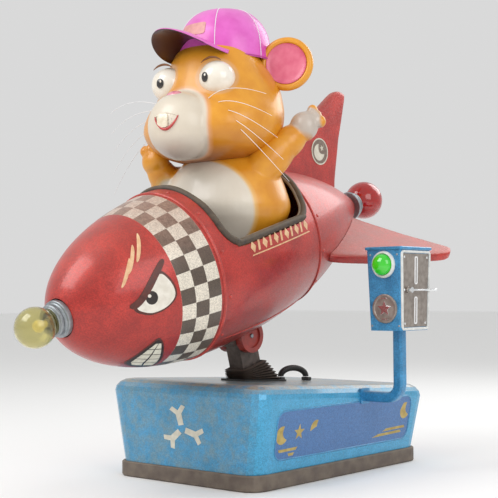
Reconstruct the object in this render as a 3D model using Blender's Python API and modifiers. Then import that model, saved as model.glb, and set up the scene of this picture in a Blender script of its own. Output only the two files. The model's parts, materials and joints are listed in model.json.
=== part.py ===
# Coin-operated rocket ride with a moulded rider, modelled as separate pieces.
# Metres and degrees. +Z is up, the rocket's nose points along -Y and the coin box
# stands on the +X side. The origin is the centre of the base's underside.
import math

import bmesh
import bpy
from mathutils import Matrix, Vector

# ---- driving dimensions: clearances
gap = 0.0003  # between touching pieces
run_gap = 0.0005  # beside a turning or sliding piece

# base
plinth_width = 0.620
plinth_length = 0.934
plinth_height = 0.050
plinth_wall = 0.026
plinth_corner = 0.060
pan_thickness = 0.006
shell_inset = 0.008  # foot of the shell inside the plinth's outline
shell_wall = 0.005
shell_flare_x = 0.028  # top of the shell beyond the plinth, each side
shell_flare_y = 0.005
deck_front_z = 0.328
deck_rear_z = 0.276
deck_fillet = 0.042

# rocking drive
rock_axis_y = -0.090
rock_axis_z = 0.160
rest_pitch = 15.68  # nose-down angle of the rocket at rest
rock_travel = 24.0
shaft_radius = 0.0125
stand_half_span = 0.095
stand_thickness = 0.008
lever_length = 0.090
lever_thickness = 0.010
rod_length = 0.170
rod_thickness = 0.010
arm_width = 0.060
arm_depth = 0.092
arm_wall = 0.005
slot_clearance = 0.007
pin_radius = 0.006
frame_border = 0.024
frame_thickness = 0.006
conduit_radius = 0.011
conduit_foot = 0.0145

# rocket
rocket_radius = 0.279
rocket_width_ratio = 0.92
nose_length = 0.580
widest_station = 0.565
tail_length = 0.970
tail_power = 2.5
rocket_wall = 0.004
rocket_sides = 32
nose_seam = 0.445
tail_seam = 0.985
tail_end = 1.4866
collar_radius = 0.048
nose_bulb_radius = 0.060
tail_bulb_radius = 0.073
glass_wall = 0.0025
belly_station = 0.7395  # where the arm meets the belly
pivot_drop = 0.6035  # rock axis below the rocket's axis
rim_radius = 0.012
rim_clearance = 0.0012
opening_front = 0.506
opening_rear = 0.955
opening_sill = 0.078
opening_lean = 0.075  # rear edge's run over its height
opening_height = 0.150
opening_corner = 0.070
tub_half_width = 0.206
tub_floor = -0.030
tub_top = 0.048
tub_wall = 0.004
fin_reach = 0.440
fin_thickness = 0.034

# coin post and box
post_size = 0.035
post_corner = 0.007
post_x = 0.480
post_y = 0.080
post_z = 0.260
post_bend = 0.045
box_width = 0.134
box_depth = 0.180
box_bottom_z = 0.484
box_top_z = 0.748
box_taper = 0.90
box_wall = 0.003
panel_thickness = 0.004
button_radius = 0.024
button_travel = 0.004
lever_rod_radius = 0.0035

panel_border = 0.012
slot_width = 0.007
coin_slots = ((0.640, 0.722), (0.510, 0.590))  # low and high end of each
button_z = 0.700
medallion_radius = 0.048
medallion_z = 0.556
lever_z = 0.617

# rider
rider_seat_y = -0.235
torso_radius = 0.230
torso_depth = 0.86
torso_y = -0.005
head_radius = 0.242
head_depth = 0.92  # fore and aft against sideways
skin = 0.005
face_turn = 5.0  # the face looks a little to its left
eye_radii = (0.061, 0.058, 0.058)
muzzle_radii = (0.112, 0.105, 0.112)
muzzle_z = 1.150
ear_radius = 0.090
ear_turn = 28.0
ear_thickness = 0.036
ear_centre = (0.212, 0.065, 1.371)
face_axis_y = -0.033
eye_spacing = 0.100
eye_forward = 0.147
eye_z = 1.303
muzzle_forward = 0.208
nose_radii = (0.036, 0.028, 0.0235)
nose_forward = 0.239
snout_z = 1.239
forearm_radius = 0.052
cap_y = -0.012
cap_depth = 0.97
cap_radius = 0.164
cap_base_z = 1.388
brim_half = 0.128
brim_reach = 0.180
brim_thickness = 0.006
arm_radius = 0.064
paw_radius = 0.050
# (radius, height, fore-and-aft centre) down the head, and (radius, height) down the body
head_levels = [(0.012, 1.520, -0.010), (0.060, 1.512, -0.010), (0.112, 1.487, -0.015), (0.140, 1.440, -0.027),
               (0.154, 1.395, -0.049), (0.182, 1.345, -0.040), (0.207, 1.298, -0.033), (0.222, 1.249, -0.037),
               (0.237, 1.209, -0.053), (head_radius, 1.164, -0.068), (0.232, 1.130, -0.077),
               (0.205, 1.095, -0.083), (0.160, 1.065, -0.083), (0.095, 1.045, -0.080), (0.020, 1.038, -0.080)]
torso_levels = [(0.0, 1.095), (0.080, 1.088), (0.135, 1.066), (0.168, 1.035), (0.196, 1.000), (0.216, 0.952),
                (torso_radius, 0.903), (0.222, 0.868), (0.205, 0.835), (0.188, 0.795), (0.174, 0.750),
                (0.160, 0.620), (0.0, 0.620)]

deck_slope = (deck_rear_z - deck_front_z) / (plinth_length + 2 * shell_flare_y)
pitch = math.radians(rest_pitch)
crank_throw = lever_length * math.sin(math.radians(rock_travel / 2))
lever_foot_y = rock_axis_y + crank_throw
lever_foot_z = rock_axis_z - lever_length * math.cos(math.radians(rock_travel / 2))
crank_y = lever_foot_y + rod_length - crank_throw
crank_z = lever_foot_z
lever_x = -arm_width / 2 - run_gap - lever_thickness / 2
rod_x = lever_x - lever_thickness / 2 - run_gap - rod_thickness / 2
belly_drop = rocket_radius + 0.011  # arm head's centre below the rocket's axis
deck_tilt = math.atan(deck_slope)
# the deck's slot clears the arm over its whole swing
slot_half_front = math.tan(pitch) * (deck_front_z - rock_axis_z)
slot_half_rear = math.tan(math.radians(rock_travel) - pitch) * (deck_front_z - rock_axis_z)
slot_y0 = rock_axis_y - slot_half_front - arm_depth / 2 - slot_clearance
slot_y1 = rock_axis_y + slot_half_rear + arm_depth / 2 + slot_clearance
slot_centre_y = (slot_y0 + slot_y1) / 2
slot_y = slot_y1 - slot_y0
slot_x = arm_width + 2 * slot_clearance

for old in list(bpy.data.objects):
    bpy.data.objects.remove(old, do_unlink=True)

ride = bpy.data.collections.new("rocket_ride")
cutters = bpy.data.collections.new("cutters")
bpy.context.scene.collection.children.link(ride)
bpy.context.scene.collection.children.link(cutters)

paints = {
    "blue_flake": ((0.02, 0.22, 0.50), 0.25, 0.35),
    "red_flake": ((0.55, 0.03, 0.02), 0.25, 0.30),
    "skirt_paint": ((0.12, 0.10, 0.08), 0.6, 0.2),
    "steel": ((0.45, 0.45, 0.44), 0.35, 1.0),
    "dark_steel": ((0.09, 0.085, 0.08), 0.5, 0.8),
    "chrome": ((0.75, 0.75, 0.75), 0.1, 1.0),
    "bronze": ((0.45, 0.28, 0.10), 0.4, 1.0),
    "motor_enamel": ((0.06, 0.09, 0.07), 0.5, 0.3),
    "rubber": ((0.03, 0.028, 0.025), 0.75, 0.0),
    "clear_glass": ((0.75, 0.70, 0.30), 0.05, 0.0),
    "red_glass": ((0.70, 0.02, 0.02), 0.05, 0.0),
    "fur_paint": ((0.72, 0.28, 0.02), 0.7, 0.0),
    "cream_paint": ((0.78, 0.70, 0.58), 0.6, 0.0),
    "pink_paint": ((0.80, 0.20, 0.30), 0.5, 0.0),
    "cap_paint": ((0.75, 0.12, 0.52), 0.6, 0.0),
    "green_lens": ((0.05, 0.75, 0.03), 0.2, 0.0),
    "black_plastic": ((0.02, 0.02, 0.02), 0.45, 0.0),
    "liner": ((0.05, 0.045, 0.04), 0.7, 0.0),
}


def finish_material(name):
    made = bpy.data.materials.get(name)
    if made is None:
        colour, rough, metal = paints[name]
        made = bpy.data.materials.new(name)
        made.use_nodes = True
        shader = made.node_tree.nodes["Principled BSDF"]
        shader.inputs["Base Color"].default_value = (*colour, 1.0)
        shader.inputs["Roughness"].default_value = rough
        shader.inputs["Metallic"].default_value = metal
    return made


# ---- small modelling helpers
def place(name, data, paint, parent=None, location=(0, 0, 0), rotation=(0, 0, 0)):
    made = bpy.data.objects.new(name, data)
    ride.objects.link(made)
    made.parent = parent
    made.location = location
    made.rotation_euler = rotation
    if paint:
        made.data.materials.append(finish_material(paint))
    return made


def as_cutter(made):
    ride.objects.unlink(made)
    cutters.objects.link(made)
    made.hide_render = True
    made.display_type = "WIRE"
    return made


def boolean(target, tool, operation="DIFFERENCE"):
    step = target.modifiers.new(tool.name, "BOOLEAN")
    step.operation = operation
    step.solver = "EXACT"
    step.object = tool
    return target


def bevel(made, width, segments=2, angle=40):
    step = made.modifiers.new("edges", "BEVEL")
    step.width = width
    step.segments = segments
    step.limit_method = "ANGLE"
    step.angle_limit = math.radians(angle)
    return made


def smooth(made, angle=35):
    made.data.shade_smooth()
    made.data.set_sharp_from_angle(angle=math.radians(angle))
    return made


def box(name, size, centre, paint, parent=None, rotation=(0, 0, 0), edge=0.0):
    shape = bmesh.new()
    bmesh.ops.create_cube(shape, size=1.0)
    bmesh.ops.scale(shape, vec=size, verts=shape.verts)
    data = bpy.data.meshes.new(name)
    shape.to_mesh(data)
    shape.free()
    made = place(name, data, paint, parent, centre, rotation)
    return bevel(made, edge) if edge else made


turned_to = {"X": (0, math.pi / 2, 0), "Y": (-math.pi / 2, 0, 0), "Z": (0, 0, 0)}


def rod(name, radius, length, centre, paint, parent=None, axis="X", sides=24):
    shape = bmesh.new()
    bmesh.ops.create_cone(shape, cap_ends=True, segments=sides, radius1=radius, radius2=radius, depth=length)
    data = bpy.data.meshes.new(name)
    shape.to_mesh(data)
    shape.free()
    return smooth(place(name, data, paint, parent, centre, turned_to[axis]))


def ball(name, radii, centre, paint, parent=None, rotation=(0, 0, 0), sides=24):
    shape = bmesh.new()
    bmesh.ops.create_uvsphere(shape, u_segments=sides, v_segments=sides // 2, radius=1.0)
    bmesh.ops.scale(shape, vec=radii, verts=shape.verts)
    data = bpy.data.meshes.new(name)
    shape.to_mesh(data)
    shape.free()
    return smooth(place(name, data, paint, parent, centre, rotation))


def turned(name, outline, paint, parent=None, centre=(0, 0, 0), rotation=(0, 0, 0), steps=36, width=1.0):
    # outline: (radius, height) pairs from the top down the outer side, and back up inside
    data = bpy.data.meshes.new(name)
    on_axis = [radius < 1e-6 for radius, _ in outline]
    count = len(outline)
    edges = [(i, (i + 1) % count) for i in range(count)]
    edges = [(a, b) for a, b in edges if not (on_axis[a] and on_axis[b])]
    data.from_pydata([(radius, 0, height) for radius, height in outline], edges, [])
    made = place(name, data, paint, parent, centre, rotation)
    made.scale = (width, 1, 1)
    step = made.modifiers.new("turn", "SCREW")
    step.steps = steps
    step.render_steps = steps
    step.use_merge_vertices = True
    step.merge_threshold = 0.0001
    step.use_smooth_shade = True
    return made


def curve_to_mesh(made, threshold=0.00005):
    # a curve's evaluated shape as a plain mesh, its caps welded on
    bpy.context.view_layer.update()
    graph = bpy.context.evaluated_depsgraph_get()
    data = bpy.data.meshes.new_from_object(made.evaluated_get(graph))
    shape = bmesh.new()
    shape.from_mesh(data)
    bmesh.ops.remove_doubles(shape, verts=shape.verts, dist=threshold)
    bmesh.ops.recalc_face_normals(shape, faces=shape.faces)
    shape.to_mesh(data)
    shape.free()
    name, parent = made.name, made.parent
    location, rotation = made.location.copy(), made.rotation_euler.copy()
    bpy.data.objects.remove(made, do_unlink=True)
    data.name = name
    return place(name, data, None, parent, location, rotation)


def plate(name, outlines, thickness, paint, parent=None, centre=(0, 0, 0), rotation=(0, 0, 0)):
    # flat outlines in X and Y, the first outer and the others holes, centred on Z
    flat = bpy.data.curves.new(name, "CURVE")
    flat.dimensions = "2D"
    flat.fill_mode = "BOTH"
    flat.extrude = thickness / 2
    for outline in outlines:
        line = flat.splines.new("POLY")
        line.points.add(len(outline) - 1)
        for point, (x, y) in zip(line.points, outline):
            point.co = (x, y, 0, 1)
        line.use_cyclic_u = True
    return curve_to_mesh(place(name, flat, paint, parent, centre, rotation))


def pipe(name, points, radius, paint, parent=None, closed=False, resolution=2):
    path = bpy.data.curves.new(name, "CURVE")
    path.dimensions = "3D"
    path.bevel_depth = radius
    path.bevel_resolution = resolution
    path.use_fill_caps = not closed
    line = path.splines.new("POLY")
    line.points.add(len(points) - 1)
    for point, place_at in zip(line.points, points):
        point.co = (*place_at, 1)
    line.use_cyclic_u = closed
    return smooth(curve_to_mesh(place(name, path, paint, parent)))


def loft(name, rings, paint, parent=None, centre=(0, 0, 0), rotation=(0, 0, 0), caps=(True, True)):
    # rings: equal lists of points, counter-clockwise seen from the last ring's side
    shape = bmesh.new()
    rows = [[shape.verts.new(point) for point in ring] for ring in rings]
    for low, high in zip(rows, rows[1:]):
        for i in range(len(low)):
            j = (i + 1) % len(low)
            shape.faces.new((low[i], low[j], high[j], high[i]))
    if caps[0]:
        shape.faces.new(rows[0][::-1])
    if caps[1]:
        shape.faces.new(rows[-1])
    data = bpy.data.meshes.new(name)
    shape.to_mesh(data)
    shape.free()
    return place(name, data, paint, parent, centre, rotation)


def rounded_rectangle(half_x, half_y, radius, per_corner=4, centre=(0, 0)):
    points = []
    for quarter, (sx, sy) in enumerate(((1, 1), (-1, 1), (-1, -1), (1, -1))):
        for i in range(per_corner + 1):
            turn = math.pi / 2 * (quarter + i / per_corner)
            points.append((centre[0] + sx * (half_x - radius) + radius * math.cos(turn),
                           centre[1] + sy * (half_y - radius) + radius * math.sin(turn)))
    return points


def circle(radius, count=24, centre=(0, 0)):
    turns = [2 * math.pi * i / count for i in range(count)]
    return [(centre[0] + radius * math.cos(a), centre[1] + radius * math.sin(a)) for a in turns]


def empty(name, location, parent=None, rotation=(0, 0, 0)):
    made = bpy.data.objects.new(name, None)
    ride.objects.link(made)
    made.parent = parent
    made.location = location
    made.rotation_euler = rotation
    return made


def deck_z(y):
    return deck_front_z + deck_slope * (y + plinth_length / 2 + shell_flare_y)


def rocket_r(station):
    if station < widest_station:
        return rocket_radius * math.sqrt(1 - ((widest_station - station) / nose_length) ** 2)
    return rocket_radius * (1 - ((station - widest_station) / tail_length) ** tail_power)


# ---- the empties that carry the moving pieces
rock_axis = empty("rock_axis", (0, rock_axis_y, rock_axis_z))
# rocket_frame: X across, Y from the nose collar to the tail, Z up from the rocket's axis
nose_y = -belly_station * math.cos(pitch) - pivot_drop * math.sin(pitch)
nose_z = -belly_station * math.sin(pitch) + pivot_drop * math.cos(pitch)
rocket_frame = empty("rocket_frame", (0, nose_y, nose_z), rock_axis, (pitch, 0, 0))
rider_frame = empty("rider_frame", (0, rider_seat_y - rock_axis_y, -rock_axis_z), rock_axis)
crank_axis = empty("crank_axis", (lever_x, crank_y, crank_z))
rod_axis = empty("rod_axis", (rod_x, lever_foot_y - rock_axis_y, lever_foot_z - rock_axis_z), rock_axis)


# ---- base
def skirt_ring(inset, z_of, corner=plinth_corner, per_corner=4):
    outline = rounded_rectangle(plinth_width / 2 - inset[0], plinth_length / 2 - inset[1], corner, per_corner)
    return [(x, y, z_of(y)) for x, y in outline]


def shell_rings(grow=0.0, drop=0.0):
    # the flared shell from its foot over the fillet to the sloping deck
    foot_z = plinth_height + gap
    rings = [skirt_ring((shell_inset - grow, shell_inset - grow), lambda y: foot_z - drop)]
    for step in range(5):
        turn = math.pi / 2 * step / 4
        inward = deck_fillet * (1 - math.cos(turn))
        below = deck_fillet * (1 - math.sin(turn))
        inset = (inward - shell_flare_x - grow, inward - shell_flare_y - grow)
        rings.append(skirt_ring(inset, lambda y, b=below: deck_z(y) - b + grow))
    return rings


def make_base():
    outer = rounded_rectangle(plinth_width / 2, plinth_length / 2, plinth_corner)
    inner = rounded_rectangle(plinth_width / 2 - plinth_wall, plinth_length / 2 - plinth_wall,
                              plinth_corner - plinth_wall)
    plinth = plate("plinth", [outer, inner], plinth_height, "skirt_paint", centre=(0, 0, plinth_height / 2))
    bevel(plinth, 0.004, 1)
    side = plinth_wall + gap
    pan_outline = rounded_rectangle(plinth_width / 2 - side, plinth_length / 2 - side, plinth_corner - side)
    plate("floor_pan", [pan_outline], pan_thickness, "dark_steel", centre=(0, 0, pan_thickness / 2))

    shell = loft("base_shell", shell_rings(), "blue_flake", caps=(False, True))
    wall = shell.modifiers.new("wall", "SOLIDIFY")
    wall.thickness = shell_wall
    wall.offset = -1
    wall.use_even_offset = True
    slot = box("deck_slot_cut", (slot_x, slot_y, 0.1), (0, slot_centre_y, deck_z(slot_centre_y)), None)
    boolean(shell, as_cutter(slot))
    entry = box("post_entry_cut", (0.06, post_size * 0.6, post_size * 0.6),
                (plinth_width / 2, post_y, post_z), None)
    boolean(shell, as_cutter(entry))
    smooth(shell)
    return shell


def make_boot():
    outer = rounded_rectangle(slot_x / 2 + frame_border, slot_y / 2 + frame_border, 0.015, 3)
    inner = rounded_rectangle(slot_x / 2, slot_y / 2, 0.006, 2)
    lift = frame_thickness / 2 + gap
    centre = (0, slot_centre_y, deck_z(slot_centre_y) + lift / math.cos(deck_tilt))
    plate("boot_frame", [outer, inner], frame_thickness, "black_plastic", centre=centre,
          rotation=(deck_tilt, 0, 0))
    # bellows: folds from the frame to the leaning arm, outer rings up and inner rings down
    folds = 7
    foot = Vector((0, slot_centre_y, deck_z(slot_centre_y) + frame_thickness + 2 * gap))
    reach = 0.214
    top = Vector((0, rock_axis_y - reach * math.sin(pitch), rock_axis_z + reach * math.cos(pitch)))
    rings = []
    for side in (0, 1):
        for step in range(folds)[:: -1 if side else 1]:
            part = step / (folds - 1)
            middle = foot.lerp(top, part)
            tilt = deck_tilt + (pitch - deck_tilt) * part
            half_x = slot_x / 2 + 0.010
            half_y = (slot_y / 2 + 0.008) * (1 - part) + (arm_depth / 2 + 0.013) * part
            swell = 0.004 if step % 2 else -0.003
            inset = 0.004 if side else 0
            outline = rounded_rectangle(half_x + swell - inset, half_y + swell - inset, 0.012, 2)
            turn = Matrix.Rotation(tilt, 3, "X")
            rings.append([tuple(middle + turn @ Vector((x, y, 0))) for x, y in outline])
    rings.append(rings[0])
    boot = loft("boot_bellows", rings, "rubber", caps=(False, False))
    weld(boot)


def weld(made):
    shape = bmesh.new()
    shape.from_mesh(made.data)
    bmesh.ops.remove_doubles(shape, verts=shape.verts, dist=0.00001)
    bmesh.ops.recalc_face_normals(shape, faces=shape.faces)
    shape.to_mesh(made.data)
    shape.free()
    return made


def arch(start_y, end_y, x, rise, count=13):
    points = []
    for i in range(count):
        part = i / (count - 1)
        y = start_y + (end_y - start_y) * (0.5 - 0.5 * math.cos(math.pi * part))
        foot_z = deck_z(y) + conduit_foot
        points.append((x, y, foot_z + rise * math.sin(math.pi * part)))
    return points


def make_conduit():
    x, start_y, end_y = 0.0, 0.045, 0.190
    pipe("lamp_conduit", arch(start_y, end_y, x, 0.030), conduit_radius, "rubber")
    for name, y in (("conduit_gland_front", start_y - 0.004), ("conduit_gland_rear", end_y + 0.004)):
        block = box(name, (0.030, 0.024, 0.012), (x, y, deck_z(y) + 0.006 + gap), "black_plastic",
                    rotation=(deck_tilt, 0, 0))
        bevel(block, 0.003)


# ---- drive under the deck
def bore_round(radius, clearance, sides=24):
    # a faceted bore whose flats clear the shaft's corners
    return (radius + clearance) / math.cos(math.pi / sides)


def make_drive():
    hole = rod("shaft_bore_cut", bore_round(shaft_radius, 0.0001), 0.5, (0, rock_axis_y, rock_axis_z), None)
    as_cutter(hole)
    bearing_radius = shaft_radius + 0.0075
    seat = rod("bearing_seat_cut", bore_round(bearing_radius, gap), 0.5, (0, rock_axis_y, rock_axis_z), None)
    as_cutter(seat)
    for side, name in ((-1, "left"), (1, "right")):
        x = side * stand_half_span
        top = rock_axis_z + bearing_radius + 0.014
        foot = pan_thickness + gap
        outline = [(-0.055, foot), (0.055, foot), (0.026, top), (-0.026, top)]
        stand = plate(f"bearing_stand_{name}", [outline], stand_thickness, "dark_steel",
                      centre=(x, rock_axis_y, 0), rotation=(math.pi / 2, 0, math.pi / 2))
        base = box(f"stand_foot_cut_{name}", (0.034, 0.112, 0.006),
                   (x + side * (0.019 - stand_thickness / 2), rock_axis_y, foot + 0.003), None)
        boolean(stand, as_cutter(base), "UNION")
        boolean(stand, seat)
        bush = rod(f"bearing_{name}", bearing_radius, stand_thickness + 0.006,
                   (x, rock_axis_y, rock_axis_z), "bronze")
        boolean(bush, hole)
    gear_x = 0.016
    foot = pan_thickness + gap
    case_top = crank_z + 0.052
    gearbox = box("gearbox", (0.070, 0.104, case_top - foot), (gear_x, crank_y, (case_top + foot) / 2),
                  "motor_enamel", edge=0.006)
    bore = rod("output_bore_cut", bore_round(0.009, 0.0001), 0.04,
               (gear_x - 0.035, crank_y, crank_z), None)
    boolean(gearbox, as_cutter(bore))
    motor_profile = [(0.0, 0.088), (0.010, 0.088), (0.010, 0.080), (0.036, 0.080), (0.043, 0.074),
                     (0.043, -0.074), (0.030, -0.080), (0.0, -0.080)]
    turned("drive_motor", motor_profile, "motor_enamel", centre=(gear_x, crank_y + 0.1325, crank_z + 0.004),
           rotation=(-math.pi / 2, 0, 0), steps=24)
    boolean(bpy.data.objects["drive_motor"], as_cutter(
        box("motor_face_cut", (0.1, 0.02, 0.1), (gear_x, crank_y + 0.042 + gap, crank_z), None)))
    box("control_box", (0.150, 0.110, 0.070), (0.0, -0.320, foot + 0.035), "steel", edge=0.003)
    core = box("transformer", (0.062, 0.052, 0.056), (0.165, -0.320, foot + 0.028), "dark_steel")
    coil = box("transformer_coil_cut", (0.040, 0.078, 0.034), (0.165, -0.320, foot + 0.030), None, edge=0.004)
    boolean(core, as_cutter(coil), "UNION")
    gland = turned("power_gland", [(0.0, 0.030), (0.006, 0.030), (0.008, 0.016), (0.013, 0.013), (0.013, 0.0),
                                   (0.0, 0.0)], "black_plastic",
                   centre=(0.16, plinth_length / 2 + gap, 0.026), rotation=(-math.pi / 2, 0, 0), steps=20)
    return gland


def make_crank():
    rim = crank_throw + 0.016
    half = lever_thickness / 2
    shaft_end = 0.016 - lever_x - 0.018
    profile = [(0.0, shaft_end), (0.009, shaft_end), (0.009, half + 0.002), (0.014, half + 0.002),
               (0.014, half), (rim, half), (rim, -half), (0.0, -half)]
    turned("crank_disc", profile, "steel", crank_axis, rotation=(0, math.pi / 2, 0), steps=32)


def link_outline(length, end_radius, count=9):
    # two round ends joined by straight sides, along +Y from the origin
    points = []
    for i in range(count):
        turn = math.pi + math.pi * i / (count - 1)
        points.append((end_radius * math.cos(turn), end_radius * math.sin(turn)))
    for i in range(count):
        turn = math.pi * i / (count - 1)
        points.append((end_radius * math.cos(turn), length + end_radius * math.sin(turn)))
    return points


def make_rod():
    eye = circle(bore_round(pin_radius, 0.0001), 24)
    far_eye = circle(pin_radius + gap, 24, (0, rod_length))
    # plate stands in the YZ plane: local X down the Z axis, local Y along Y
    plate("connecting_rod", [link_outline(rod_length, 0.014), eye, far_eye], rod_thickness, "steel", rod_axis,
          rotation=(0, math.pi / 2, 0))
    reach = rod_thickness / 2 + 0.008
    inner = rod_thickness / 2 - gap
    profile = [(0.0, reach), (0.010, reach), (0.010, rod_thickness / 2 + gap),
               (pin_radius, rod_thickness / 2 + gap), (pin_radius, -inner), (0.0, -inner)]
    turned("crank_pin", profile, "chrome", rod_axis, (0, rod_length, 0), (0, -math.pi / 2, 0), 24)


# ---- rocker: shaft, arm and the rocket on it
def make_arm():
    shaft_length = 2 * stand_half_span + 0.030
    rod("pivot_shaft", shaft_radius, shaft_length, (0, 0, 0), "steel", rock_axis)
    top = -belly_drop - 0.012
    length = top + pivot_drop
    arm = box("rocker_arm", (arm_width, arm_depth, length), (0, belly_station, top - length / 2),
              "dark_steel", rocket_frame)
    hub = rod("arm_hub_cut", shaft_radius + 0.013, arm_width,
              (0, belly_station, -pivot_drop), None, rocket_frame)
    boolean(arm, as_cutter(hub), "UNION")
    hollow = box("arm_hollow_cut", (arm_width - 2 * arm_wall, arm_depth - 2 * arm_wall, length),
                 (0, belly_station, top - length / 2 + shaft_radius + 0.022), None, rocket_frame)
    boolean(arm, as_cutter(hollow))
    bore = rod("arm_bore_cut", shaft_radius + gap, 0.2, (0, belly_station, -pivot_drop), None,
               rocket_frame)
    boolean(arm, as_cutter(bore))
    bevel(arm, 0.003, 1, 60)

    turn = math.radians(rock_travel / 2)
    bar = plate("crank_lever", [link_outline(lever_length, 0.0185), circle(shaft_radius + gap, 24)],
                  lever_thickness, "steel", rock_axis, (lever_x, 0, 0), (0, 0, 0))
    bar.rotation_euler = (Matrix.Rotation(turn, 3, "X") @ Matrix.Rotation(-math.pi / 2, 3, "X")
                          @ Matrix.Rotation(math.pi / 2, 3, "Y")).to_euler()
    far = rod_x - rod_thickness / 2 - 0.009
    near = lever_x + lever_thickness / 2
    half = (near - far) / 2
    head = 0.007
    profile = [(0.0, half), (0.010, half), (0.010, half - head), (pin_radius, half - head),
               (pin_radius, -half), (0.0, -half)]
    stud = turned("lever_stud_cut", profile, None, rock_axis,
                  ((near + far) / 2, lever_foot_y - rock_axis_y, lever_foot_z - rock_axis_z),
                  (0, -math.pi / 2, 0), 24)
    boolean(bar, as_cutter(stud), "UNION")

    hull = hull_cutter("belly_cut", 0.0014)
    saddle = box("belly_saddle", (arm_width - 0.001, arm_depth + 0.060, 0.060),
                 (0, belly_station, top + gap + 0.030), "dark_steel", rocket_frame)
    boolean(saddle, hull)
    for side, name in ((-1, "left"), (1, "right")):
        x = side * (arm_width / 2 + gap + 0.014)
        cheek = rod(f"saddle_cheek_{name}", 0.057, 0.028, (x, belly_station, -belly_drop + 0.004),
                    "red_flake", rocket_frame, sides=32)
        recess = rod(f"cheek_recess_cut_{name}", 0.040, 0.012,
                     (x + side * 0.014, belly_station, -belly_drop + 0.004), None, rocket_frame, sides=32)
        boolean(cheek, as_cutter(recess))
        boolean(cheek, hull)


def hull_outline(extra, stations):
    return [(rocket_r(s) + extra, s) for s in stations]


def spread(start, end, count):
    return [start + (end - start) * i / (count - 1) for i in range(count)]


def turned_along(name, outline, paint, steps=rocket_sides, width=rocket_width_ratio):
    # outline as (radius, station), nose first; turned about the rocket's own axis
    flipped = [(radius, -station) for radius, station in outline]
    return turned(name, flipped, paint, rocket_frame, (0, 0, 0), (math.pi / 2, 0, 0), steps, width)


def hull_cutter(name, extra=gap):
    stations = spread(0.10, tail_end - 0.02, 18)
    outline = [(0.0, 0.10)] + hull_outline(extra, stations) + [(0.0, tail_end - 0.02)]
    return as_cutter(turned_along(name, outline, None))


def skin_outline(stations):
    outer = hull_outline(0.0, stations)
    inner = hull_outline(-rocket_wall, stations[:-1:2] + stations[-1:])
    return outer + inner[::-1]


def opening_outline(grow, count=5):
    # side view of the cockpit opening in (station, height), widened by grow
    front, sill = opening_front - grow, opening_sill - grow
    rear = opening_rear + grow
    radius = opening_corner + grow
    points = [(front, 0.40)]
    for i in range(count):
        turn = math.pi + math.pi / 2 * i / (count - 1)
        points.append((front + radius + radius * math.cos(turn), sill + radius + radius * math.sin(turn)))
    lean = opening_lean / opening_height
    for i in range(count):
        turn = -math.pi / 2 + (math.pi / 2 - math.atan(lean)) * i / (count - 1)
        points.append((rear - radius + radius * math.cos(turn), sill + radius + radius * math.sin(turn)))
    last_s, last_h = points[-1]
    points.append((last_s + lean * (0.40 - last_h), 0.40))
    return points


def make_rocket():
    nose = turned_along("nose_shell", skin_outline(
        [0.0, 0.015, 0.045, 0.10, 0.18, 0.27, 0.36, nose_seam - gap]), "red_flake")
    middle_line = skin_outline(spread(nose_seam + gap, tail_seam - gap, 6))
    middle = turned_along("body_shell", middle_line, "red_flake")
    tail = turned_along("tail_shell", skin_outline(
        spread(tail_seam + gap, 1.40, 5) + [tail_end]), "red_flake")
    opening = plate("opening_cut", [opening_outline(rim_radius + rim_clearance)], 0.8, None, rocket_frame,
                    rotation=(math.pi / 2, 0, math.pi / 2))
    as_cutter(opening)
    for shell in (middle, tail):
        boolean(shell, opening)
    for name, station in (("front_seam_ring", nose_seam), ("rear_seam_ring", tail_seam)):
        lift = 0.004
        outline = []
        for i in range(4):
            turn = math.pi * i / 3
            s = station - lift * math.cos(turn)
            outline.append((rocket_r(s) + gap + lift * math.sin(turn), s))
        ring = turned_along(name, outline, "red_flake")
        boolean(ring, opening)
    return nose


def hull_x(station, height, inward=0.0):
    radius = rocket_r(station) - inward
    return rocket_width_ratio * math.sqrt(max(radius * radius - height * height, 0.0))


def make_rim():
    # follow the opening up one side, over the front, down the other and round the back
    profile = opening_outline(0.0)[1:-1]
    front_top = rocket_r(opening_front)
    side = []
    for s, h in [(opening_front, front_top * math.sin(math.radians(a))) for a in (72, 52, 40)] + profile:
        side.append((hull_x(s, h, 0.002), s, h))
    lean = opening_lean / opening_height
    rear_s, rear_h = profile[-1]
    top_h = rear_h
    while hull_x(rear_s + lean * (top_h - rear_h), top_h, 0.002) > 0.02:
        top_h += 0.002
    for part in (0.35, 0.62, 0.84, 0.96):
        h = rear_h + (top_h - rear_h) * part
        s = rear_s + lean * (h - rear_h)
        side.append((hull_x(s, h, 0.002), s, h))
    front_mid = (0, opening_front, front_top - 0.002)
    rear_mid = (0, rear_s + lean * (top_h - rear_h), top_h)
    mirrored = [(-x, s, h) for x, s, h in side[::-1]]
    return pipe("cockpit_rim", [front_mid] + side + [rear_mid] + mirrored, rim_radius, "rubber", rocket_frame,
                closed=True)


def make_tub():
    front, rear = opening_front + 0.014, opening_rear + 0.006
    middle = (front + rear) / 2
    half = (rear - front) / 2
    rings = []
    for inset, z in ((0, tub_floor - tub_wall), (0, tub_top), (tub_wall, tub_top), (tub_wall, tub_floor)):
        outline = rounded_rectangle(tub_half_width - inset, half - inset, 0.06 - inset, 4)
        rings.append([(x, middle + y, z) for x, y in outline])
    return loft("cockpit_tub", rings, "liner", rocket_frame)


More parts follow.
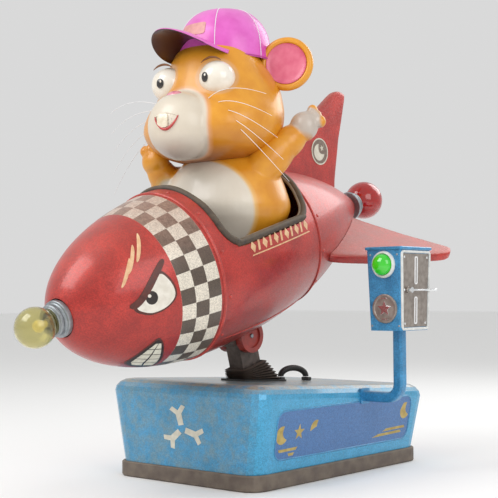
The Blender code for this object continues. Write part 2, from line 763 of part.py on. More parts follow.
def make_lamps():
    for name, glass, r_bulb, station, way, ring in (
            ("nose", "clear_glass", nose_bulb_radius, 0.0, -1, collar_radius),
            ("tail", "red_glass", tail_bulb_radius, tail_end, 1, collar_radius * 0.95)):
        start = rocket_r(0.0) if way < 0 else rocket_r(tail_end)
        # collar: stepped ring standing off the shell's end
        steps = [(ring - 0.006, 0.040), (ring, 0.034), (ring, 0.018)]
        steps += [(ring + 0.008, 0.014), (ring + 0.008, gap)]
        steps += [(0.010, gap), (0.010, 0.012), (0.030, 0.020), (0.030, 0.040)]
        outline = [(r, station + way * z) for r, z in steps]
        if way > 0:
            outline = outline[::-1]
        turned_along(f"{name}_collar", outline, "steel", 24, 1.0)
        neck = 0.0285
        reach = 0.0255
        sink = math.sqrt(r_bulb ** 2 - neck ** 2)
        points = [(neck, reach), (neck, reach + 0.016)]
        centre = reach + 0.016 + sink
        first = math.atan2(-sink, neck)
        arc = [first + (math.pi / 2 - first) * i / 7 for i in range(1, 7)]
        points += [(r_bulb * math.cos(a), centre + r_bulb * math.sin(a)) for a in arc]
        points += [(0.0, centre + r_bulb), (0.0, centre + r_bulb - glass_wall)]
        r_in = r_bulb - glass_wall
        points += [(r_in * math.cos(a), centre + r_in * math.sin(a)) for a in arc[::-1][::2]]
        points += [(neck - glass_wall, reach + 0.016), (neck - glass_wall, reach)]
        outline = [(r, station + way * z) for r, z in points]
        if way < 0:
            outline = outline[::-1]
        turned_along(f"{name}_bulb", outline, glass, 20, 1.0)


def make_fins():
    hull = hull_cutter("fin_root_cut", 0.0012)
    root_front = 1.065
    # side outline in (station, reach from the axis)
    outline = [(root_front, 0.19), (root_front + 0.02, 0.226), (1.20, 0.300), (1.344, 0.372), (1.433, 0.410),
               (1.50, fin_reach - 0.004), (1.535, fin_reach), (1.560, fin_reach - 0.014), (1.565, 0.405),
               (1.482, 0.261), (1.415, 0.120), (1.395, 0.06), (1.10, 0.06)]
    for name, lean in (("top_fin", 0.0), ("left_fin", 120.0), ("right_fin", -120.0)):
        fin = plate(name, [outline], fin_thickness, "red_flake", rocket_frame)
        turn = Matrix.Rotation(math.radians(lean), 3, "Y") @ Matrix.Rotation(math.pi / 2, 3, "Z").to_3x3()
        turn = turn @ Matrix.Rotation(math.pi / 2, 3, "X").to_3x3()
        fin.rotation_euler = turn.to_euler()
        bevel(fin, 0.011, 2, 30)
        boolean(fin, hull)


# ---- rider, upright in its own frame: X across, Y fore and aft, Z as the world's
def pear(name, profile, paint, parent, depth=0.9, steps=24, grow=0.0, centre=(0, 0, 0)):
    # profile: (radius, height) from the top down
    middle = (profile[0][1] + profile[-1][1]) / 2
    outline = [(r + grow if r else 0.0, z + math.copysign(grow, z - middle)) for r, z in profile]
    made = turned(name, outline, paint, parent, centre, (0, 0, 0), steps)
    made.scale = (1, depth, 1)
    return made


def bust(name, levels, paint, parent, grow=0.0, steps=24):
    # levels: (radius, height, fore-and-aft centre) from the top down
    middle = (levels[0][1] + levels[-1][1]) / 2
    rings = []
    for radius, height, place_y in levels[::-1]:
        r, z = radius + grow, height + math.copysign(grow, height - middle)
        turns = [2 * math.pi * i / steps for i in range(steps)]
        rings.append([(r * math.cos(t), place_y + head_depth * r * math.sin(t), z) for t in turns])
    return smooth(loft(name, rings, paint, parent))


def on_face(x, forward, z):
    # a point of the face, forward of the head's upright axis, turned with the face
    turn = math.radians(face_turn)
    across = x * math.cos(turn) + forward * math.sin(turn)
    return (across, x * math.sin(turn) - forward * math.cos(turn) + face_axis_y, z)


def make_rider():
    torso_at = (0, torso_y, 0)
    solid_head = as_cutter(bust("head_cut", head_levels, None, rider_frame, gap))
    grown_torso = pear("torso_cut", torso_levels, None, rider_frame, torso_depth, grow=gap, centre=torso_at)
    solid_torso = as_cutter(grown_torso)
    head = bust("rider_head", head_levels, "fur_paint", rider_frame)
    muzzle_at = on_face(0, muzzle_forward, muzzle_z)
    muzzle = ball("muzzle_cut", muzzle_radii, muzzle_at, None, rider_frame, sides=20)
    nose = ball("nose_cut", nose_radii, on_face(0, nose_forward, snout_z), None, rider_frame, sides=10)
    boolean(boolean(head, as_cutter(muzzle), "UNION"), as_cutter(nose), "UNION")
    # hollow inside, and open at the neck
    inner = [(r - 2 * skin, z, y) for r, z, y in head_levels[2:-2:2]]
    inner = [(inner[0][0] - 4 * skin, inner[0][1] + skin, inner[0][2])] + inner[1:]
    boolean(head, as_cutter(bust("head_hollow_cut", inner, None, rider_frame, steps=12)))
    neck = rod("neck_cut", 0.030, 0.06, (0, -0.080, 1.055), None, rider_frame, "Z")
    boolean(head, as_cutter(neck))
    torso = pear("rider_torso", torso_levels, "fur_paint", rider_frame, torso_depth, centre=torso_at)
    boolean(torso, solid_head)
    floor_cut = box("seat_cut", (0.8, 0.9, 0.3), (0, 0.73, tub_floor - 0.15 + gap), None, rocket_frame)
    boolean(torso, as_cutter(floor_cut))
    # hollow and open below, with a closed shoulder under the head
    inner = [(r - 2 * skin, z - 4 * skin) for r, z in torso_levels[4:-1]]
    inner = [(0.0, inner[0][1] + skin)] + inner + [(0.0, inner[-1][1])]
    hollow = pear("torso_hollow_cut", inner, None, rider_frame, torso_depth, 16, centre=torso_at)
    boolean(torso, as_cutter(hollow))
    grown = tuple(r + gap for r in muzzle_radii)
    muzzle_seat = as_cutter(ball("muzzle_seat_cut", grown, muzzle_at, None, rider_frame, sides=20))
    for side, name in ((-1, "left"), (1, "right")):
        eye_at = on_face(side * eye_spacing, eye_forward, eye_z)
        eye = ball(f"rider_eye_{name}", eye_radii, eye_at, "cream_paint", rider_frame, sides=16)
        boolean(eye, solid_head)
        boolean(eye, muzzle_seat)
        ear_at = (side * ear_centre[0], ear_centre[1], ear_centre[2])
        ear = rod(f"rider_ear_{name}", ear_radius, ear_thickness, ear_at, "fur_paint", rider_frame, sides=28)
        ear.rotation_euler = (math.pi / 2, 0, math.radians(side * ear_turn))
        bevel(ear, 0.012, 2, 40)
        dish = rod(f"ear_dish_cut_{name}", ear_radius * 0.74, 0.020, (0, 0, 0), None, ear, "Z", 28)
        dish.location = (0, 0, 0.022)
        boolean(ear, as_cutter(dish))
        boolean(ear, solid_head)
    crown_levels = [(0.0, 1.570), (0.040, 1.5685), (0.072, 1.563), (0.100, 1.551), (0.130, 1.523),
                    (0.150, 1.488), (0.160, 1.450), (cap_radius, 1.405), (cap_radius, cap_base_z),
                    (0.0, cap_base_z)]
    cap_at = (0, cap_y, 0)
    cap = pear("rider_cap", crown_levels, "cap_paint", rider_frame, cap_depth, centre=cap_at)
    brim = loft("brim_cut", brim_rings(), None, rider_frame)
    boolean(cap, as_cutter(brim), "UNION")
    hollow_crown = [(max(r - skin, 0.0), z - skin) for r, z in crown_levels[:-2]]
    hollow_crown += [(cap_radius - skin, cap_base_z - 0.03), (0.0, cap_base_z - 0.03)]
    boolean(cap, as_cutter(pear("cap_hollow_cut", hollow_crown, None, rider_frame, cap_depth, centre=cap_at)))
    boolean(cap, solid_head)
    grown_cap = pear("cap_cut", crown_levels, None, rider_frame, cap_depth, grow=gap, centre=cap_at)
    cap_solid = as_cutter(grown_cap)
    for name in ("left", "right"):
        boolean(bpy.data.objects[f"rider_ear_{name}"], cap_solid)
    make_rider_arms(solid_head, solid_torso)


def brim_rings(rows=5, count=13):
    # from the crown's front, where the brim's root arches up, out to its drooping edge
    rings = []
    for row in range(rows):
        part = row / (rows - 1)
        line = []
        for i in range(count):
            turn = math.pi * (i / (count - 1) - 0.5)
            droop = math.sin(turn) ** 2
            root = Vector((0.158 * math.sin(0.55 * turn), cap_y - 0.153 * math.cos(0.55 * turn),
                           1.4525 - 0.0560 * droop))
            edge = Vector((brim_half * math.sin(turn), -0.135 - brim_reach * math.cos(turn),
                           1.4406 - 0.050 * droop + 0.0156 * math.cos(turn)))
            line.append(root.lerp(edge, part))
        half = Vector((0, 0, brim_thickness / 2))
        rings.append([tuple(p - half) for p in line] + [tuple(p + half) for p in line[::-1]])
    return rings


def make_rider_arms(solid_head, solid_torso):
    # the right paw is raised behind the cheek, the left one is tucked under it
    reaches = {
        "left": [(-0.130, -0.025, 0.985), (-0.190, -0.085, 0.985), (-0.200, -0.120, 1.030),
                 (-0.205, -0.137, 1.062)],
        "right": [(0.140, -0.020, 1.000), (0.200, 0.040, 1.085), (0.228, 0.075, 1.125),
                  (0.255, 0.099, 1.162)],
    }
    for name, points in reaches.items():
        shoulder, elbow, wrist, paw_at = [Vector(p) for p in points]
        upper = elbow - shoulder
        arm = ball(f"rider_arm_{name}", (arm_radius, arm_radius, upper.length * 0.5 + arm_radius),
                   (shoulder + elbow) / 2, "fur_paint", rider_frame,
                   upper.to_track_quat("Z", "Y").to_euler(), 14)
        lower = wrist - elbow
        fore = ball(f"forearm_cut_{name}", (forearm_radius, forearm_radius, lower.length * 0.5 + 0.050),
                    (wrist + elbow) / 2, None, rider_frame, lower.to_track_quat("Z", "Y").to_euler(), 12)
        boolean(arm, as_cutter(fore), "UNION")
        paw = ball(f"paw_cut_{name}", (paw_radius, 0.044, paw_radius), paw_at, None, rider_frame, sides=12)
        boolean(arm, as_cutter(paw), "UNION")
        boolean(arm, solid_torso)
        boolean(arm, solid_head)


# ---- coin post and box
def box_half(z):
    part = (z - box_bottom_z) / (box_top_z - box_bottom_z)
    share = box_taper + (1 - box_taper) * part
    return box_width / 2 * share, box_depth / 2 * share


def box_ring(z, inset=0.0, corner=0.006):
    half_x, half_y = box_half(z)
    outline = rounded_rectangle(half_x - inset, half_y - inset, max(corner - inset, 0.002), 2)
    return [(post_x + x, post_y + y, z) for x, y in outline]


def make_post():
    wall_cut = as_cutter(loft("post_wall_cut", shell_rings(gap, 0.0), None))
    stations = [(plinth_width / 2 - 0.01, post_z, 0.0)]
    for i in range(6):
        turn = math.pi / 2 * i / 5
        stations.append((post_x - post_bend + post_bend * math.sin(turn),
                         post_z + post_bend - post_bend * math.cos(turn), turn))
    stations.append((post_x, box_bottom_z - gap, math.pi / 2))
    rings = []
    for inset, order in ((0.0, 1), (0.003, -1)):
        for x, z, turn in stations[::order]:
            outline = rounded_rectangle(post_size / 2 - inset, post_size / 2 - inset, post_corner - inset, 2)
            across = Vector((-math.sin(turn), 0, math.cos(turn)))
            rings.append([tuple(Vector((x, post_y, z)) + Vector((0, u, 0)) + across * v) for u, v in outline])
    rings.append(rings[0])
    post = weld(loft("coin_post", rings, "blue_flake", caps=(False, False)))
    outer = rounded_rectangle(0.026, 0.026, 0.008, 3)
    inner = rounded_rectangle(post_size / 2 - 0.002, post_size / 2 - 0.002, post_corner - 0.002, 3)
    flange = plate("post_flange_cut", [outer, inner], 0.010, None,
                   centre=(plinth_width / 2 + 0.0255, post_y, post_z), rotation=(0, math.pi / 2, 0))
    boolean(smooth(post), as_cutter(flange), "UNION")
    boolean(post, wall_cut)


def make_coin_box():
    low, high = box_bottom_z, box_top_z
    shell = loft("coin_box_shell", [box_ring(low), box_ring(high)], "blue_flake")
    inner_ring = [box_ring(low + box_wall, box_wall), box_ring(high + 0.02, box_wall)]
    boolean(shell, as_cutter(loft("coin_box_hollow_cut", inner_ring, None)))
    bottom_half = box_half(low + panel_border)[1] - panel_border
    top_half = box_half(high - panel_border)[1] - panel_border
    height = high - low - 2 * panel_border
    mid_z = (high + low) / 2
    lean = math.atan((box_half(high)[0] - box_half(low)[0]) / (high - low))
    side_x = post_x + box_half(mid_z)[0]
    side = empty("panel_plane", (side_x - panel_thickness / 2 + 0.001, post_y, mid_z), None, (0, lean, 0))
    upright = (math.pi / 2, 0, math.pi / 2)

    def trapezoid(grow):
        return [(-bottom_half - grow, -height / 2 - grow), (bottom_half + grow, -height / 2 - grow),
                (top_half + grow, height / 2 + grow), (-top_half - grow, height / 2 + grow)]

    window = plate("panel_window_cut", [trapezoid(gap)], 0.03, None, side, rotation=upright)
    boolean(shell, as_cutter(window))
    entry = box("box_entry_cut", (post_size * 0.6, post_size * 0.6, 0.05), (post_x, post_y, low), None)
    boolean(shell, as_cutter(entry))
    button_hole = rod("button_hole_cut", button_radius * 0.5 + 0.001, 0.05,
                      (post_x, post_y - box_half(button_z)[1], button_z), None, axis="Y")
    boolean(shell, as_cutter(button_hole))

    slots = []
    for z0, z1 in coin_slots:
        half = (z1 - z0) / 2 - 0.006
        corners = ((-1, -1), (1, -1), (1, 1), (-1, 1))
        slots.append([(0.006 + sx * slot_width / 2, sy * half + (z0 + z1) / 2 - mid_z) for sx, sy in corners])
    plate("coin_panel", [trapezoid(0)] + slots, panel_thickness, "steel", side, rotation=upright)
    lid_ring = rounded_rectangle(box_half(high)[0] + 0.006, box_half(high)[1] + 0.006, 0.008, 2)
    lid = plate("coin_box_lid", [lid_ring], 0.010, "blue_flake", centre=(post_x, post_y, high + gap + 0.005))
    bevel(lid, 0.003, 1)
    box("coin_mech", (0.060, 0.110, 0.110), (post_x + 0.018, post_y + 0.010, 0.664), "steel")
    tray_rings = []
    for inset, z in ((0, low + 0.012), (0, low + 0.085), (0.002, low + 0.085), (0.002, low + 0.014)):
        outline = rounded_rectangle(0.048 - inset, 0.066 - inset, 0.006, 2)
        tray_rings.append([(post_x - 0.002 + x, post_y + y, z) for x, y in outline])
    loft("cash_tray", tray_rings, "steel")
    medal = rod("coin_medallion", medallion_radius, 0.004, (post_x, 0, 0), "steel", axis="Y", sides=40)
    front_lean = math.atan((box_half(high)[1] - box_half(low)[1]) / (high - low))
    medal.location = (post_x, post_y - box_half(medallion_z)[1] - 0.002 - gap, medallion_z)
    medal.rotation_euler.x += front_lean
    boolean(medal, as_cutter(loft("front_face_cut", [box_ring(low, -gap), box_ring(high, -gap)], None)))


def make_button():
    face_y = post_y - box_half(button_z)[1]
    axis = empty("button_axis", (post_x, face_y, button_z))
    face_cut = bpy.data.objects["front_face_cut"]
    bezel_line = [(0.036, 0.010), (0.044, 0.004), (0.044, -0.006), (0.0355, -0.006), (0.0355, 0.010)]
    bezel = turned("button_bezel", bezel_line, "black_plastic", axis, (0, 0, 0), (math.pi / 2, 0, 0), 32)
    boolean(bezel, face_cut)
    stem = button_radius * 0.5 - run_gap
    dome_r = 0.034
    base = button_travel + 0.002
    points = [(0.0, base + 0.030)]
    for i in range(1, 7):
        turn = math.pi / 2 * (1 - i / 6)
        points.append((dome_r * math.cos(turn), base + 0.006 + 0.024 * math.sin(turn)))
    points += [(dome_r, base), (stem, base), (stem, -0.014), (0.0, -0.014)]
    turned("start_button", points, "green_lens", axis, (0, 0, 0), (math.pi / 2, 0, 0), 20)
    turns, per_turn, coil_r = 3, 8, 0.008
    length = 0.016
    start = -0.014 - gap - 0.001
    coil = []
    for i in range(turns * per_turn + 1):
        turn = 2 * math.pi * i / per_turn
        back = start - length * i / (turns * per_turn)
        coil.append((coil_r * math.cos(turn), -back, coil_r * math.sin(turn)))
    pipe("button_spring", coil, 0.0008, "chrome", axis, resolution=1)


def make_lever():
    side_x = post_x + box_half(0.615)[0] + 0.001
    pivot_y = post_y - 0.050
    axis = empty("lever_axis", (side_x, pivot_y, lever_z))
    boss_line = [(0.0, 0.008), (0.0085, 0.008), (0.0105, 0.006), (0.0105, -0.001), (0.0, -0.001)]
    boss = turned("lever_boss_cut", boss_line, None, axis, rotation=(0, math.pi / 2, 0), steps=24)
    boolean(bpy.data.objects["coin_panel"], as_cutter(boss), "UNION")
    out = 0.008 + run_gap + 0.0055
    hub = rod("coin_lever", 0.0095, 0.011, (out, 0, 0), "chrome", axis)
    bar = pipe("lever_bar_cut", [(out, 0, 0), (out, 0.055, 0), (out, 0.110, 0.0), (out, 0.150, 0.0)],
               lever_rod_radius, None, axis, resolution=2)
    boolean(hub, as_cutter(bar), "UNION")
    knob = ball("lever_knob_cut", (0.006, 0.009, 0.006), (out, 0.150, 0.0), None, axis, sides=12)
    boolean(hub, as_cutter(knob), "UNION")


make_base()
make_boot()
make_conduit()
make_drive()
make_crank()
make_rod()
make_arm()
make_rocket()
make_rim()
make_tub()
make_lamps()
make_fins()
make_rider()
make_post()
make_coin_box()
make_button()
make_lever()
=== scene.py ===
import json
import math

import bmesh
import bpy
from mathutils import Matrix, Vector


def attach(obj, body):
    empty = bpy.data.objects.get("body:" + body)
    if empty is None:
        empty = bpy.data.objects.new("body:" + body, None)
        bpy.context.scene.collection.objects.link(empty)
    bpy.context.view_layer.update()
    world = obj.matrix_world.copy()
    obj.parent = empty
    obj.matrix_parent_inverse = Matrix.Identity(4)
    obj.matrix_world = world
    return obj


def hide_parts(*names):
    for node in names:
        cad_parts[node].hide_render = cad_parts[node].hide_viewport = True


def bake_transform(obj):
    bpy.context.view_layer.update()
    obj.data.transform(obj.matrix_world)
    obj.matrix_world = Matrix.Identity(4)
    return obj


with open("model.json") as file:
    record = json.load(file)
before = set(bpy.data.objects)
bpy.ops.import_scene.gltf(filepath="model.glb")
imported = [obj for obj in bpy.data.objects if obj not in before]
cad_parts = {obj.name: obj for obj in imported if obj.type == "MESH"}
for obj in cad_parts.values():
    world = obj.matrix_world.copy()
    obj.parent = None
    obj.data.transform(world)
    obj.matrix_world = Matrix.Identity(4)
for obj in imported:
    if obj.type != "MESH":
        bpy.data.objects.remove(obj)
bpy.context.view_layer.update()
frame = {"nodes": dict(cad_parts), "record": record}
print("frame loaded:", len(frame["nodes"]), "nodes")

# ---- small tools


def linear(code):  # sRGB hex to linear, with alpha 1
    parts = [int(code[i:i + 2], 16) / 255 for i in (1, 3, 5)]
    return (*[c / 12.92 if c <= 0.04045 else ((c + 0.055) / 1.055) ** 2.4 for c in parts], 1.0)


def plug(tree, node, inputs):  # a node given as a value stands for its live output
    for key, value in inputs.items():
        if isinstance(value, bpy.types.Node):
            value = next(socket for socket in value.outputs if socket.enabled)
        if isinstance(value, bpy.types.NodeSocket):
            tree.links.new(value, node.inputs[key])
        else:
            node.inputs[key].default_value = value


def addNode(tree, kind, inputs=None, **settings):  # a shader node with its settings and links
    node = tree.nodes.new("ShaderNode" + kind)
    for key, value in settings.items():
        setattr(node, key, value)
    plug(tree, node, inputs or {})
    return node


def newMaterial(name, **fixed):  # a Principled material; fixed values go straight on its sockets
    material = bpy.data.materials.new(name)
    material.use_nodes = True
    tree = material.node_tree
    shader = tree.nodes["Principled BSDF"]
    for key, value in fixed.items():
        shader.inputs[key.replace("_", " ")].default_value = value
    return material, tree, shader


def buildMesh(name, vertices, faces, material, matrix=None, sharp=35):
    data = bpy.data.meshes.new(name)
    data.from_pydata([tuple(v) for v in vertices], [], faces)
    shape = bmesh.new()
    shape.from_mesh(data)
    bmesh.ops.recalc_face_normals(shape, faces=shape.faces)
    shape.to_mesh(data)
    shape.free()
    data.shade_smooth()
    data.set_sharp_from_angle(angle=math.radians(sharp))
    made = bpy.data.objects.new(name, data)
    bpy.context.scene.collection.objects.link(made)
    if matrix is not None:
        made.matrix_world = matrix
    if material is not None:
        data.materials.append(material)
    return made


def applied(made, name=None):  # the object with its modifiers applied, as a new mesh object
    bpy.context.view_layer.update()
    data = bpy.data.meshes.new_from_object(made.evaluated_get(bpy.context.evaluated_depsgraph_get()))
    kept, matrix = name or made.name, made.matrix_world.copy()
    bpy.data.objects.remove(made, do_unlink=True)
    data.name = kept
    made = bpy.data.objects.new(kept, data)
    bpy.context.scene.collection.objects.link(made)
    made.matrix_world = matrix
    return made


def smoothLine(points, steps, closed=False):  # a Catmull-Rom line through the points
    count = len(points)
    spans = count if closed else count - 1
    line = []
    for i in range(spans):
        if closed:
            a, b, c, d = (points[(i + k) % count] for k in (-1, 0, 1, 2))
        else:
            a, b, c, d = (points[min(max(i + k, 0), count - 1)] for k in (-1, 0, 1, 2))
        for step in range(steps):
            t = step / steps
            line.append(tuple(0.5 * (2 * q + (r - p) * t + (2 * p - 5 * q + 4 * r - s) * t * t
                                     + (3 * q - p - 3 * r + s) * t ** 3) for p, q, r, s in zip(a, b, c, d)))
    if not closed:
        line.append(tuple(points[-1]))
    return line


def revolve(name, profile, material, matrix=None, steps=96, ratio=1.0, along="Y", loop=True, sharp=35):
    # profile: (radius, place) pairs; ratio squeezes X for a rocket piece, and Y for an upright one
    rings, vertices = [], []
    for radius, place in profile:
        if radius < 1e-6:
            rings.append([len(vertices)] * steps)
            vertices.append((0, place, 0) if along == "Y" else (0, 0, place))
            continue
        ring = []
        for i in range(steps):
            c, s = math.cos(2 * math.pi * i / steps) * radius, math.sin(2 * math.pi * i / steps) * radius
            ring.append(len(vertices))
            vertices.append((c * ratio, place, s) if along == "Y" else (c, s * ratio, place))
        rings.append(ring)
    faces = []
    pairs = list(zip(rings, rings[1:] + rings[:1])) if loop else list(zip(rings, rings[1:]))
    for low, high in pairs:
        for i in range(steps):
            j = (i + 1) % steps
            corners = []
            for corner in (low[i], low[j], high[j], high[i]):
                if corner not in corners:
                    corners.append(corner)
            if len(corners) > 2:
                faces.append(corners)
    return buildMesh(name, vertices, faces, material, matrix, sharp)


def ringLoft(name, rings, material, matrix=None, ends=(True, True), sharp=35, joined=False):
    count = len(rings[0])
    vertices = [point for ring in rings for point in ring]
    faces = []
    spans = len(rings) if joined else len(rings) - 1
    for k in range(spans):
        low, high = k * count, (k + 1) % len(rings) * count
        faces += [(low + i, low + (i + 1) % count, high + (i + 1) % count, high + i) for i in range(count)]
    if ends[0] and not joined:
        faces.append(list(range(count))[::-1])
    if ends[1] and not joined:
        faces.append([len(vertices) - count + i for i in range(count)])
    return buildMesh(name, vertices, faces, material, matrix, sharp)


def roundedRectangle(halfX, halfY, radius, corner=6, side=1):
    points = []
    for quarter, (sx, sy) in enumerate(((1, 1), (-1, 1), (-1, -1), (1, -1))):
        for i in range(corner + 1):
            turn = math.pi / 2 * (quarter + i / corner)
            points.append((sx * (halfX - radius) + radius * math.cos(turn),
                           sy * (halfY - radius) + radius * math.sin(turn)))
    dense = []
    for a, b in zip(points, points[1:] + points[:1]):
        far = math.dist(a, b) > 0.02
        for i in range(side if far else 1):
            part = i / side if far else 0
            dense.append((a[0] + (b[0] - a[0]) * part, a[1] + (b[1] - a[1]) * part))
    return dense


def tube(name, points, radius, material, matrix=None, closed=False, sides=4, taper=None):
    path = bpy.data.curves.new(name, "CURVE")
    path.dimensions = "3D"
    path.bevel_depth = radius
    path.bevel_resolution = sides
    path.use_fill_caps = not closed
    line = path.splines.new("POLY")
    line.points.add(len(points) - 1)
    for i, point in enumerate(points):
        line.points[i].co = (*point, 1)
        line.points[i].radius = 1 if taper is None else taper(i / (len(points) - 1))
    line.use_cyclic_u = closed
    made = bpy.data.objects.new(name + "_line", path)
    bpy.context.scene.collection.objects.link(made)
    if matrix is not None:
        made.matrix_world = matrix
    made = applied(made, name)
    made.data.shade_smooth()
    made.data.set_sharp_from_angle(angle=math.radians(50))
    made.data.materials.clear()
    made.data.materials.append(material)
    return made


def filled(loops):  # a bmesh of flat outlines; loops inside others are holes
    flat = bpy.data.curves.new("flat", "CURVE")
    flat.dimensions = "2D"
    flat.fill_mode = "BOTH"
    for loop in loops:
        line = flat.splines.new("POLY")
        line.points.add(len(loop) - 1)
        for point, (x, y) in zip(line.points, loop):
            point.co = (x, y, 0, 1)
        line.use_cyclic_u = True
    holder = bpy.data.objects.new("flat", flat)
    bpy.context.scene.collection.objects.link(holder)
    bpy.context.view_layer.update()
    data = bpy.data.meshes.new_from_object(holder.evaluated_get(bpy.context.evaluated_depsgraph_get()))
    shape = bmesh.new()
    shape.from_mesh(data)
    bmesh.ops.remove_doubles(shape, verts=shape.verts, dist=1e-5)
    bpy.data.objects.remove(holder, do_unlink=True)
    return shape


def transfer(name, loops, wrap, material, matrix=None, step=0.010, thick=0.0005, lift=0.0003):
    # a thin printed or cut film: its flat outline is cut into small cells, then laid on a surface by wrap
    shape = filled(loops)
    for axis in (0, 1):
        low = min(v.co[axis] for v in shape.verts)
        high = max(v.co[axis] for v in shape.verts)
        normal = Vector((1, 0, 0)) if axis == 0 else Vector((0, 1, 0))
        for k in range(1, int((high - low) / step) + 1):
            parts = list(shape.verts) + list(shape.edges) + list(shape.faces)
            bmesh.ops.bisect_plane(shape, geom=parts, plane_co=normal * (low + k * step), plane_no=normal)
    data = bpy.data.meshes.new(name)
    top = [wrap(v.co.x, v.co.y, lift + thick) for v in shape.verts]
    under = [wrap(v.co.x, v.co.y, lift) for v in shape.verts]
    shape.verts.index_update()
    faces = [[v.index for v in face.verts] for face in shape.faces]
    count = len(top)
    sides = []
    for edge in shape.edges:
        if len(edge.link_faces) == 1:
            a, b = (v.index for v in edge.verts)
            sides.append((a, b, b + count, a + count))
    shape.free()
    bpy.data.meshes.remove(data)
    faces += [[i + count for i in face[::-1]] for face in faces] + sides
    return buildMesh(name, top + under, faces, material, matrix, 50)


def studs(name, places, radius, height, material, matrix=None, rings=5, sides=14):
    # round heads, each on its own (point, outward direction)
    vertices, faces = [], []
    for point, out in places:
        turn = Vector((0, 0, 1)).rotation_difference(Vector(out).normalized())
        base = len(vertices)
        for k in range(rings):
            angle = math.pi / 2 * k / rings
            for i in range(sides):
                a = 2 * math.pi * i / sides
                spot = Vector((radius * math.cos(angle) * math.cos(a), radius * math.cos(angle) * math.sin(a),
                               height * math.sin(angle)))
                vertices.append(Vector(point) + turn @ spot)
        vertices.append(Vector(point) + turn @ Vector((0, 0, height)))
        for k in range(rings - 1):
            for i in range(sides):
                j = (i + 1) % sides
                faces.append((base + k * sides + i, base + k * sides + j,
                              base + (k + 1) * sides + j, base + (k + 1) * sides + i))
        last = base + (rings - 1) * sides
        faces += [(last + i, last + (i + 1) % sides, base + rings * sides) for i in range(sides)]
        faces.append([base + i for i in range(sides)][::-1])
    return buildMesh(name, vertices, faces, material, matrix)


def egg(name, radii, centre, material, turn=None, sides=40):
    profile = [(math.sin(math.pi * k / (sides // 2)), math.cos(math.pi * k / (sides // 2)))
               for k in range(sides // 2 + 1)]
    profile[0] = (0.0, 1.0)
    profile[-1] = (0.0, -1.0)
    placed = Matrix.Translation(centre) @ (turn.to_4x4() if turn is not None else Matrix())
    made = revolve(name, profile, material, None, sides, 1.0, "Z", loop=False)
    made.data.transform(Matrix.Diagonal((*radii, 1)))
    made.matrix_world = placed
    return made


def joinShapes(name, shapes):  # one mesh from several, each in its own place
    whole = bmesh.new()
    for made in shapes:
        part = made.data.copy()
        part.transform(made.matrix_world)
        whole.from_mesh(part)
        bpy.data.objects.remove(made, do_unlink=True)
    data = bpy.data.meshes.new(name)
    whole.to_mesh(data)
    whole.free()
    made = bpy.data.objects.new(name, data)
    bpy.context.scene.collection.objects.link(made)
    return made


def moulded(made, cell, rounds, material):  # fuses overlapping forms into one soft skin
    name = made.name
    fuse = made.modifiers.new("fuse", "REMESH")
    fuse.mode = "VOXEL"
    fuse.voxel_size = cell
    fuse.use_smooth_shade = True
    soften = made.modifiers.new("soften", "SMOOTH")
    soften.iterations = rounds
    soften.factor = 0.5
    made = applied(made, name)
    made.data.materials.clear()
    made.data.materials.append(material)
    made.data.shade_smooth()
    return made

# ---- places that the CAD works with, in metres

rock = next(joint for joint in frame["record"]["behaviour"]["joints"] if joint["name"] == "rock")
rockAxis = Vector(rock["pos_m"])
pitch = math.radians(15.68)  # nose-down at rest
hull = dict(radius=0.279, widest=0.565, nose=0.580, tail=0.970, power=2.5, width=0.92, wall=0.004,
            noseSeam=0.445, tailSeam=0.985, end=1.4866, belly=0.7395, drop=0.6035)
origin = rockAxis + Vector((0, -hull["belly"] * math.cos(pitch) - hull["drop"] * math.sin(pitch),
                            -hull["belly"] * math.sin(pitch) + hull["drop"] * math.cos(pitch)))
# the rocket's own frame: X across, Y station from the nose, Z height
rocket = Matrix.Translation(origin) @ Matrix.Rotation(pitch, 4, "X")


def hullRadius(station):
    if station < hull["widest"]:
        part, power, length = hull["widest"] - station, 2, hull["nose"]
    else:
        part, power, length = station - hull["widest"], hull["power"], hull["tail"]
    if power == 2:
        return hull["radius"] * math.sqrt(max(0.0, 1 - (part / length) ** 2))
    return hull["radius"] * (1 - (part / length) ** power)


def onHull(station, angle, lift=0.0):  # angle from +X towards the top
    radius = hullRadius(station) + lift
    return (radius * hull["width"] * math.cos(angle), station, radius * math.sin(angle))


def beside(station, height, lift=0.0, side=1):  # a point of the hull's flank at that height
    radius = hullRadius(station) + lift
    return (side * hull["width"] * math.sqrt(max(0.0, radius * radius - height * height)), station, height)

# ---- finishes


def scaleFor(size):  # texture scale that gives features of this size in millimetres
    return 1000 / size


